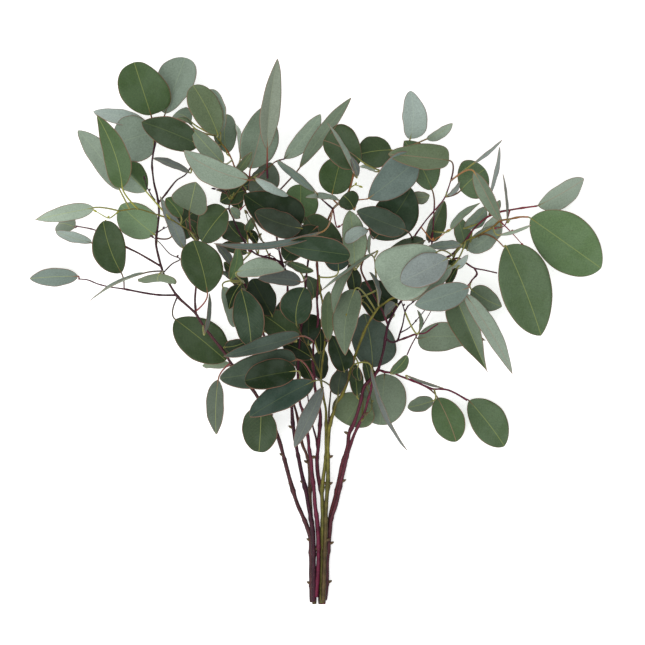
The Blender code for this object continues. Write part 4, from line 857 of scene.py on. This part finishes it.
def blade_surface(leaf, way, out):
    """Places on a blade's middle surface, for any way from base to tip and out from midrib to margin.

    The midrib bows as a parabola and sweeps sideways as another. The margins rise as the square of the
    way out, both halves fold up from the midrib, and waves run along the margins as sines.
    """
    base, length, along, across, face = blade_axes(leaf)
    shape = blade_shape(leaf, way, out)
    middle_shape = (blade_shape(leaf, way, -1) + blade_shape(leaf, way, 1)) / 2
    half = leaf.broad / 2 * shape * (out + leaf.lean / 100 * np.abs(out))
    phase = leaf.number * 1.7
    long_turns = LONG_WAVE_TURNS + leaf.number % 3 * 0.5
    waves = (
        np.sin(way * 2 * np.pi * long_turns + phase + np.sign(out) * 1.1)
        + 0.5 * np.sin(way * 2 * np.pi * SHORT_WAVE_TURNS + phase * 2 + np.sign(out) * 2.3)
    )
    wave = sizes().wave * min(leaf.broad / FULL_WAVE_WIDTH, MOST_WAVE)
    fold = np.tan(np.radians(FOLDS.get(leaf.number, USUAL_FOLD)))
    high = (
        leaf.bow * arch(way) + MARGIN_LIFT * leaf.broad * shape * out**2
        + wave * waves * np.abs(out) ** 2.2 * np.sin(np.pi * way) ** 0.7
        + fold * np.abs(half) * (1 - FOLD_EASE * np.abs(out))
        - fold * leaf.broad * FOLD_SINK * middle_shape
    )
    notch = NOTCHES.get(leaf.number, 0) * np.clip((way - 1 + NOTCH_SHARE) / NOTCH_SHARE, 0, 1) ** 2
    return (
        base
        + along * (way * length - notch)[..., None]
        + across * (half + leaf.sweep * arch(way))[..., None]
        + face * high[..., None]
    )


def petiole_line(leaf):
    """A petiole's middle line: a curve from the middle of the twig that comes in along the midrib."""
    foot = placed([leaf.foot])[0]
    ends = blade_surface(leaf, np.array([0.0, 0.07]), np.zeros(2))
    reach = min(np.linalg.norm(ends[0][:2] - foot[:2]), LONGEST_BEND)
    bend = ends[0] - unit(ends[1] - ends[0]) * reach * BEND_SHARE
    way = np.linspace(0, 1, PETIOLE_RINGS)[:, None]
    return foot * (1 - way) ** 2 + 2 * bend * way * (1 - way) + ends[0] * way**2


def blade(leaf):
    """Points, quads, place and way out of a closed blade.

    The same grid is laid above and below the middle surface, half a thickness along its normal, and the
    two are joined round the margin. The place holds millimetres from the midrib, millimetres from the
    margin, and how many side veins lie before it.
    """
    _, length, _, _, _ = blade_axes(leaf)
    way = (1 - np.cos(np.linspace(0, 1, BLADE_ROWS) * np.pi)) / 2
    spread = np.linspace(-1, 1, BLADE_COLUMNS)
    out = np.sign(spread) * (0.75 * np.abs(spread) + 0.25 * np.abs(spread) ** 2)
    way, out = np.meshgrid(way, out, indexing="ij")
    middle = blade_surface(leaf, way, out)
    normal = unit(np.cross(np.gradient(middle, axis=1), np.gradient(middle, axis=0)))
    raised = normal * (sizes().blade / 2 * (1 - MARGIN_THINNING * out**2))[..., None]
    points = np.vstack([(middle + raised).reshape(-1, 3), (middle - raised).reshape(-1, 3)])
    points[:, 2] = np.maximum(points[:, 2], FLOOR_GAP)
    half = leaf.broad / 2 * blade_shape(leaf, way, out)
    slant = VEIN_SLANT * np.abs(out * half) + VEIN_CURVE * (out * half) ** 2
    veins = (way * length - slant) / sizes().vein_gap
    place = np.stack([np.abs(out) * half, (1 - np.abs(out)) * half, veins], -1).reshape(-1, 3)
    corner = np.arange(way.size).reshape(way.shape)
    top = np.stack([corner[:-1, :-1], corner[:-1, 1:], corner[1:, 1:], corner[1:, :-1]], -1)
    top = top.reshape(-1, 4)
    rim = np.concatenate([corner[0, :], corner[1:, -1], corner[-1, -2::-1], corner[-2:0:-1, 0]])
    onward = np.roll(rim, -1)
    edge = np.stack([onward, rim, rim + way.size, onward + way.size], -1)
    quads = np.vstack([top, top[:, ::-1] + way.size, edge])
    return points, quads, np.tile(place, (2, 1)), out


def finished_piece(name, stem, parts, material, *labels):
    """Lay parts, each its points, its quads and the labelled values at its points, end to end in a mesh
    that stands for its stem.
    """
    all_points, all_quads, *all_values = zip(*parts)
    starts = np.cumsum([0] + [len(points) for points in all_points[:-1]])
    points = np.vstack(all_points)
    quads = np.vstack([quads + start for quads, start in zip(all_quads, starts)])
    mesh = bpy.data.meshes.new(name)
    mesh.vertices.add(len(points))
    mesh.vertices.foreach_set("co", (points * MM).astype(np.float32).ravel())
    mesh.loops.add(quads.size)
    mesh.loops.foreach_set("vertex_index", quads.astype(np.int32).ravel())
    mesh.polygons.add(len(quads))
    mesh.polygons.foreach_set("loop_start", np.arange(0, quads.size, 4, dtype=np.int32))
    mesh.polygons.foreach_set("use_smooth", np.ones(len(quads), bool))
    for label, value in zip(labels, map(np.vstack, all_values)):
        if label.endswith("tone"):
            layer = mesh.attributes.new(label, "FLOAT_COLOR", "POINT")
            layer.data.foreach_set("color", np.hstack([value, np.ones((len(value), 1))]).ravel())
        else:
            layer = mesh.attributes.new(label, "FLOAT_VECTOR", "POINT")
            layer.data.foreach_set("vector", value.ravel())
    mesh.update(calc_edges=True)
    if mesh.validate():
        raise ValueError(f"{name} has faces that Blender had to mend")
    mesh.materials.append(material)
    piece = bpy.data.objects.new(name, mesh)
    bpy.context.scene.collection.objects.link(piece)
    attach(piece, BODY)
    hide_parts(stem)


def fed(tree, source, socket):
    """Feed an input socket: from an output socket by a link, or with a value."""
    if isinstance(source, bpy.types.NodeSocket):
        tree.links.new(source, socket)
    elif socket.type == "RGBA":
        socket.default_value = (*source, 1)
    else:
        socket.default_value = source


def new_node(tree, kind, *sources, **settings):
    """Add a shader node, set it up and feed its inputs by name, and then its first inputs in order."""
    node = tree.nodes.new(f"ShaderNode{kind}")
    for name, value in settings.items():
        if hasattr(node, name):
            setattr(node, name, value)
        else:
            fed(tree, value, node.inputs[name.replace("_", " ")])
    for source, socket in zip(sources, node.inputs):
        fed(tree, source, socket)
    return node


def computed(tree, operation, *sources):
    """The result of a sum that a maths node works out."""
    return new_node(tree, "Math", *sources, operation=operation).outputs[0]


def ranged(tree, value, near, far, low, high, **settings):
    """A value that goes from low to high while another goes from near to far."""
    return new_node(tree, "MapRange", value, near, far, low, high, **settings).outputs["Result"]


def falling(tree, value, near, far, share):
    """A mask that is a share where a value is below near, and nothing where it is past far."""
    return ranged(tree, value, near, far, share, 0.0, interpolation_type="SMOOTHSTEP")


def laid_over(tree, mask, below, above):
    """One colour laid over another where the mask is one."""
    node = new_node(tree, "Mix", mask, data_type="RGBA")
    lower, upper = (socket for socket in node.inputs if socket.type == "RGBA")
    fed(tree, below, lower)
    fed(tree, above, upper)
    return next(socket for socket in node.outputs if socket.type == "RGBA")


def dot_distance(tree, scale):
    """The distance to the nearest of many dots strewn through the object."""
    where = new_node(tree, "TexCoord").outputs["Object"]
    return new_node(tree, "TexVoronoi", Vector=where, Scale=scale, Randomness=1.0).outputs["Distance"]


def mottle_group():
    """Node group that puts uneven light and dark patches and a fine grain on a colour."""
    name = "natural_mottle"
    if name in bpy.data.node_groups:
        return bpy.data.node_groups[name]
    group = bpy.data.node_groups.new(name, "ShaderNodeTree")
    face = group.interface
    face.new_socket("Colour", in_out="INPUT", socket_type="NodeSocketColor")
    for label, value in (("Patch Scale", 60.0), ("Patches", 0.2), ("Grain Scale", 900.0), ("Grain", 0.1)):
        face.new_socket(label, in_out="INPUT", socket_type="NodeSocketFloat").default_value = value
    face.new_socket("Colour", in_out="OUTPUT", socket_type="NodeSocketColor")
    face.new_socket("Patch", in_out="OUTPUT", socket_type="NodeSocketFloat")
    face.new_socket("Relief", in_out="OUTPUT", socket_type="NodeSocketFloat")
    given = group.nodes.new("NodeGroupInput").outputs
    handed = group.nodes.new("NodeGroupOutput").inputs
    where = new_node(group, "TexCoord").outputs["Object"]
    unevenness = []
    for size, share, detail, relief in (
        ("Patch Scale", "Patches", 3.0, "Patch"), ("Grain Scale", "Grain", 2.0, "Relief")
    ):
        noise = new_node(group, "TexNoise", Vector=where, Scale=given[size], Detail=detail, Roughness=0.55)
        centred = computed(group, "SUBTRACT", noise.outputs["Fac"], 0.5)
        unevenness.append(computed(group, "MULTIPLY", centred, given[share]))
        fed(group, noise.outputs["Fac"], handed[relief])
    total = computed(group, "ADD", *unevenness)
    brighter = computed(group, "MULTIPLY_ADD", total, 2.0, 1.0)
    scaled = new_node(group, "VectorMath", given["Colour"], operation="SCALE", Scale=brighter)
    fed(group, scaled.outputs[0], handed["Colour"])
    return group


def started_material(name, roughness, shine, **mottle):
    """A material whose colour attribute goes through the mottle group, and what to go on from."""
    material = bpy.data.materials.new(name)
    material.use_nodes = True
    tree = material.node_tree
    surface = tree.nodes["Principled BSDF"].inputs
    surface["Roughness"].default_value = roughness
    surface["Specular IOR Level"].default_value = shine
    group = tree.nodes.new("ShaderNodeGroup")
    group.node_tree = mottle_group()
    for label, value in mottle.items():
        group.inputs[label.replace("_", " ")].default_value = value
    tone = new_node(tree, "Attribute", attribute_name="tone")
    fed(tree, tone.outputs["Color"], group.inputs["Colour"])
    return material, tree, surface, group.outputs


def roughness_from(tree, surface, source, low, high):
    """Let a value that changes over the surface set the roughness."""
    fed(tree, ranged(tree, source, 0.3, 0.7, low, high), surface["Roughness"])


def relief_from(tree, surface, source, distance, strength):
    """Let a value that changes over the surface raise it a little."""
    bump = new_node(tree, "Bump", Distance=distance, Strength=strength, Height=source)
    fed(tree, bump.outputs["Normal"], surface["Normal"])


def leaf_skin(name):
    """Waxy leaf: its own tone, patches of bloom, a midrib, fine side veins, a thin rim and dry specks."""
    material, tree, surface, mottle = started_material(
        name, 0.5, 0.22, Patch_Scale=45.0, Patches=0.1, Grain_Scale=620.0, Grain=0.34
    )
    place = new_node(tree, "Attribute", attribute_name="blade_place").outputs["Vector"]
    from_rib, from_margin, vein_count = new_node(tree, "SeparateXYZ", place).outputs
    rib = new_node(tree, "Attribute", attribute_name="rib_tone").outputs["Color"]
    wobble = computed(tree, "MULTIPLY_ADD", mottle["Patch"], 1.2, vein_count)
    to_vein = computed(tree, "PINGPONG", wobble, 0.5)
    side_veins = falling(tree, to_vein, 0.01, 0.06, 1.0)
    colour = mottle["Colour"]
    for mask, above in (
        (falling(tree, mottle["Patch"], 0.62, 0.4, 0.05), colours().bloom),
        (computed(tree, "MULTIPLY", side_veins, 0.1), rib),
        (falling(tree, from_rib, 0.15, 0.55, 0.85), rib),
        (falling(tree, from_margin, 0.25, 0.85, 0.8), colours().margin),
        (falling(tree, dot_distance(tree, 260.0), 0.07, 0.13, 0.4), colours().speck),
    ):
        colour = laid_over(tree, mask, colour, above)
    fed(tree, colour, surface["Base Color"])
    roughness_from(tree, surface, mottle["Patch"], 0.48, 0.66)
    height = computed(tree, "MULTIPLY_ADD", side_veins, -0.15, mottle["Relief"])
    relief_from(tree, surface, height, 0.0003, 0.5)
    return material


def bark_skin(name):
    """Thin smooth bark: its own tone, patches, and pale pores."""
    material, tree, surface, mottle = started_material(
        name, 0.5, 0.2, Patch_Scale=150.0, Patches=0.85, Grain_Scale=900.0, Grain=0.6
    )
    pores = falling(tree, dot_distance(tree, 420.0), 0.1, 0.2, 0.14)
    colour = laid_over(tree, pores, mottle["Colour"], colours().cut_wood)
    fed(tree, colour, surface["Base Color"])
    roughness_from(tree, surface, mottle["Relief"], 0.4, 0.65)
    relief_from(tree, surface, mottle["Relief"], 0.0004, 0.6)
    return material


def petiole_skin(name):
    """Smooth skin of leaf stalks, midribs and young shoots."""
    material, tree, surface, mottle = started_material(
        name, 0.42, 0.3, Patch_Scale=90.0, Patches=0.3, Grain_Scale=1200.0, Grain=0.15
    )
    fed(tree, mottle["Colour"], surface["Base Color"])
    roughness_from(tree, surface, mottle["Patch"], 0.36, 0.5)
    relief_from(tree, surface, mottle["Relief"], 0.0002, 0.3)
    return material


def shared(make, name):
    """The material of that name, which is made where it is first needed."""
    return bpy.data.materials.get(name) or make(name)


def knobbly(along, radius, number):
    """Radii of bark: even taper times a slow waviness, with a low swelling every few centimetres."""
    slow = 1 + sum(share * np.sin(along / span + shift * number) for share, span, shift in BARK_WAVES)
    gap = JOINT_GAP + JOINT_GAP_MORE * (number % 3)
    joint = np.abs((along + JOINT_SHIFT * number) % gap - gap / 2)
    return radius * (slow + JOINT_SWELLING * np.exp(-((joint / JOINT_WIDTH) ** 2)))


def rod_tube(points, foot, tip, sides, tones, number):
    """One stem or twig as a tube along the smooth curve through its points, its cut foot pale, with painted
    shade on its flanks and a painted highlight on its upper side.
    """
    path = smooth_path(placed(points), ROD_STEP)
    along = np.concatenate([[0], np.cumsum(np.linalg.norm(np.diff(path, axis=0), axis=1))])
    share = along / along[-1]
    radii = knobbly(along, tip + (foot - tip) / (1 + (share / TAPER_MIDDLE) ** TAPER_POWER), number)
    start = path[0] - unit(path[1] - path[0]) * 0.01
    path = np.vstack([start, path])
    radii = np.concatenate([[foot * CUT_SHARE], radii])
    age = np.concatenate([[0], share])
    stages = np.linspace(0, 1, len(tones))
    colour = np.stack([np.interp(age, stages, channel) for channel in np.array(tones).T], -1)
    colour[0] = colours().cut_wood
    # Painted light: the bark tone is darkened on the flanks as painted shade and lightened on the upper
    # side as a painted highlight
    turn = np.arange(sides) / sides * 2 * np.pi
    painted_light = FLANK_PAINTED_SHADE + UPPER_PAINTED_HIGHLIGHT * np.sin(turn).clip(0, 1) ** 2
    return *tube(path, radii, sides), (colour[:, None] * painted_light[:, None]).reshape(-1, 3)


def bud_tube(place, ahead, length, radius, tone):
    """A bud: a tube whose radius swells and closes as the square root of a sine."""
    way = np.linspace(0.02, 0.98, BUD_RINGS)
    path = place + unit(np.array(ahead)) * (way * length)[:, None]
    spots, quads = tube(path, radius * np.sqrt(np.sin(np.pi * way**0.8)), PETIOLE_SIDES)
    return spots, quads, np.tile(tone, (len(spots), 1))


class EUCALYPTUS_OT_bark(Operator):
    """Make the bark-covered stems and twigs, with their cut ends and leaf scars"""

    bl_idname = "eucalyptus.bark"
    bl_label = "Stems and twigs"

    def execute(self, context):
        size = sizes()
        scar = np.array(colours().scar)
        stem_form = (size.stem_foot, size.stem_tip, STEM_SIDES)
        twig_form = (size.twig_foot, size.twig_tip, TWIG_SIDES)
        for stem, (table, _, rod_tones) in STEMS.items():
            parts = []
            for number, (rod, names) in enumerate(zip(table["rods"], rod_tones, strict=True)):
                tones = [tone_of(TWIG_TONES, name) for name in names]
                parts.append(rod_tube(rod, *(twig_form if number else stem_form), tones, number))
            for place, side in SCARS.get(stem, ()):
                ahead = (side, 0.5, 0.3)
                parts.append(bud_tube(placed([place])[0], ahead, SCAR_LENGTH, SCAR_RADIUS, scar))
            finished_piece(f"{stem}_bark", stem, parts, shared(bark_skin, "young_bark"), "tone")
        return {"FINISHED"}


class EUCALYPTUS_OT_petioles(Operator):
    """Make each leaf's stalk, which runs on under the blade as its midrib"""

    bl_idname = "eucalyptus.petioles"
    bl_label = "Petioles and midribs"

    def execute(self, context):
        radius = sizes().petiole
        usual = np.array(colours().petiole)
        stalks = {number: tone for tone, numbers in PETIOLE_TONES.items() for number in numbers}
        way = np.linspace(0, RIB_END, RIB_RINGS + 1)[1:]
        radii = np.concatenate([
            np.linspace(radius * PETIOLE_FOOT_SHARE, radius, PETIOLE_RINGS),
            radius * (1 - way) ** 0.5 * RIB_SHARE + RIB_TIP,
        ])
        shares = np.linspace(0, TONE_AT_BLADE, PETIOLE_RINGS)
        shares = np.concatenate([shares, TONE_AT_BLADE + TONE_GAIN * way]).clip(0, 1)[:, None]
        for stem, (table, _, _) in STEMS.items():
            parts = []
            for leaf in starmap(Leaf, table["leaves"]):
                *_, face = blade_axes(leaf)
                rib = blade_surface(leaf, way, np.zeros(RIB_RINGS)) - face * RIB_DEPTH
                spots, quads = tube(np.vstack([petiole_line(leaf), rib]), radii, PETIOLE_SIDES)
                spots[:, 2] = np.maximum(spots[:, 2], FLOOR_GAP / 2)
                stalk = stalks.get(leaf.number)
                near = tone_of(TWIG_TONES, stalk) if stalk else usual
                tones = near * (1 - shares) + usual * shares
                parts.append((spots, quads, np.repeat(tones, PETIOLE_SIDES, axis=0)))
            skin = shared(petiole_skin, "petiole_skin")
            finished_piece(f"{stem}_petioles", stem, parts, skin, "tone")
        return {"FINISHED"}


class EUCALYPTUS_OT_leaves(Operator):
    """Make the leaf blades of every stem"""

    bl_idname = "eucalyptus.leaves"
    bl_label = "Leaf blades"

    def execute(self, context):
        green_rib = np.array(colours().green_rib)
        pink_rib = np.array(colours().pink_rib)
        pale_side = tone_of(LEAF_TONES, "grey_green")
        for stem, (table, _, _) in STEMS.items():
            parts = []
            for leaf in starmap(Leaf, table["leaves"]):
                points, quads, place, out = blade(leaf)
                left = tone_of(LEAF_TONES, leaf.tone)
                # Painted shade: the leaves listed for it get a darker tone on one half, for the shade that
                # falls on that half
                right = tone_of(LEAF_TONES, SHADED_HALVES.get(leaf.number, leaf.tone))
                share = np.clip(out * 4 + 0.5, 0, 1).reshape(-1, 1)
                above = left * (1 - share) + right * share
                under = UNDER_SHARE * above + (1 - UNDER_SHARE) * pale_side
                tones = np.vstack([above, under])
                rib = pink_rib if leaf.number in PINK_RIBS else green_rib
                strength = FAINT_RIB_STRENGTH if leaf.number in FAINT_RIBS else RIB_STRENGTH
                ribs = strength * rib + (1 - strength) * tones * RIB_BRIGHTENING
                parts.append((points, quads, place, tones, ribs))
            skin = shared(leaf_skin, "leaf_skin")
            finished_piece(f"{stem}_leaves", stem, parts, skin, "blade_place", "tone", "rib_tone")
        return {"FINISHED"}


class EUCALYPTUS_OT_shoots(Operator):
    """Make the young shoots and their buds"""

    bl_idname = "eucalyptus.shoots"
    bl_label = "Young shoots"

    def execute(self, context):
        for stem in sorted(SHOOTS):
            parts = []
            for tone_name, points in SHOOTS[stem]:
                tone = tone_of(TWIG_TONES, tone_name)
                path = smooth_path(placed(points), SHOOT_STEP)
                radii = np.linspace(SHOOT_FOOT_RADIUS, SHOOT_TIP_RADIUS, len(path))
                spots, quads = tube(path, radii, PETIOLE_SIDES)
                parts.append((spots, quads, np.tile(tone, (len(spots), 1))))
                buds = ((path[-1], path[-1] - path[-3]), (path[len(path) // 2], SIDE_BUD_WAY))
                for place, ahead in buds:
                    parts.append(bud_tube(place, ahead, BUD_LENGTH, BUD_RADIUS, tone * BUD_BRIGHTENING))
            skin = shared(petiole_skin, "petiole_skin")
            finished_piece(f"{stem}_shoots", stem, parts, skin, "tone")
        return {"FINISHED"}


class EUCALYPTUS_OT_stage(Operator):
    """Make the floor, the lights and the camera over the bunch"""

    bl_idname = "eucalyptus.stage"
    bl_label = "Floor, lights and camera"

    def execute(self, context):
        scene = context.scene
        side = 4.0
        mesh = bpy.data.meshes.new("floor")
        corners = [(-side, -side, 0), (side, -side, 0), (side, side, 0), (-side, side, 0)]
        mesh.from_pydata(corners, [], [(0, 1, 2, 3)])
        material = bpy.data.materials.new("pale_floor")
        material.use_nodes = True
        surface = material.node_tree.nodes["Principled BSDF"].inputs
        surface["Base Color"].default_value = (*colours().floor, 1)
        surface["Roughness"].default_value = 0.9
        surface["Emission Color"].default_value = (1, 1, 1, 1)
        surface["Emission Strength"].default_value = 0.5
        mesh.materials.append(material)
        floor = bpy.data.objects.new("floor", mesh)
        scene.collection.objects.link(floor)
        world = bpy.data.worlds.new("soft_room")
        world.use_nodes = True
        sky = world.node_tree.nodes["Background"].inputs
        sky["Color"].default_value = (1, 1, 1, 1)
        sky["Strength"].default_value = 0.5
        scene.world = world
        for name, place, width, power in (
            ("overhead_softbox", (-0.5, -0.3, 2.5), 1.8, 34.0),
            ("left_softbox", (-1.6, -1.3, 1.4), 1.0, 12.0),
        ):
            lamp = bpy.data.lights.new(name, "AREA")
            lamp.shape = "SQUARE"
            lamp.size = width
            lamp.energy = power
            light = bpy.data.objects.new(name, lamp)
            light.location = place
            x, y, z = place
            light.rotation_euler = (np.arctan2(np.hypot(x, y), z), 0, np.arctan2(-y, -x) - np.pi / 2)
            scene.collection.objects.link(light)
        lens = bpy.data.cameras.new("camera")
        lens.sensor_width = SENSOR_SIDE
        lens.lens = SENSOR_SIDE * EYE_HEIGHT / PHOTO_SIDE
        lens.clip_end = 20
        camera = bpy.data.objects.new("camera", lens)
        eye = np.array((EYE_X - ORIGIN_X, ORIGIN_Y - EYE_Y, EYE_HEIGHT + SHARP_HEIGHT))
        camera.location = eye * MM
        scene.collection.objects.link(camera)
        scene.camera = camera
        scene.view_settings.view_transform = "Standard"
        return {"FINISHED"}


class EUCALYPTUS_PT_bunch(Panel):
    """Sizes, colours and pieces of the eucalyptus bunch"""

    bl_idname = "EUCALYPTUS_PT_bunch"
    bl_label = "Eucalyptus bunch"
    bl_space_type = "VIEW_3D"
    bl_region_type = "UI"
    bl_category = "Eucalyptus"

    def draw(self, context):
        for group in (context.scene.eucalyptus_sizes, context.scene.eucalyptus_colours):
            for name in group.__annotations__:
                self.layout.prop(group, name)
        for operator in OPERATORS:
            self.layout.operator(operator.bl_idname)


OPERATORS = (
    EUCALYPTUS_OT_bark,
    EUCALYPTUS_OT_petioles,
    EUCALYPTUS_OT_leaves,
    EUCALYPTUS_OT_shoots,
    EUCALYPTUS_OT_stage,
)
CLASSES = (EucalyptusSizes, EucalyptusColours, *OPERATORS, EUCALYPTUS_PT_bunch)


def register():
    for kind in CLASSES:
        bpy.utils.register_class(kind)
    bpy.types.Scene.eucalyptus_sizes = PointerProperty(type=EucalyptusSizes)
    bpy.types.Scene.eucalyptus_colours = PointerProperty(type=EucalyptusColours)


def unregister():
    del bpy.types.Scene.eucalyptus_colours
    del bpy.types.Scene.eucalyptus_sizes
    for kind in reversed(CLASSES):
        bpy.utils.unregister_class(kind)


def main():
    """Make every piece in order."""
    register()
    bpy.ops.eucalyptus.bark()
    bpy.ops.eucalyptus.petioles()
    bpy.ops.eucalyptus.leaves()
    bpy.ops.eucalyptus.shoots()
    bpy.ops.eucalyptus.stage()


if __name__ == "__main__":
    main()
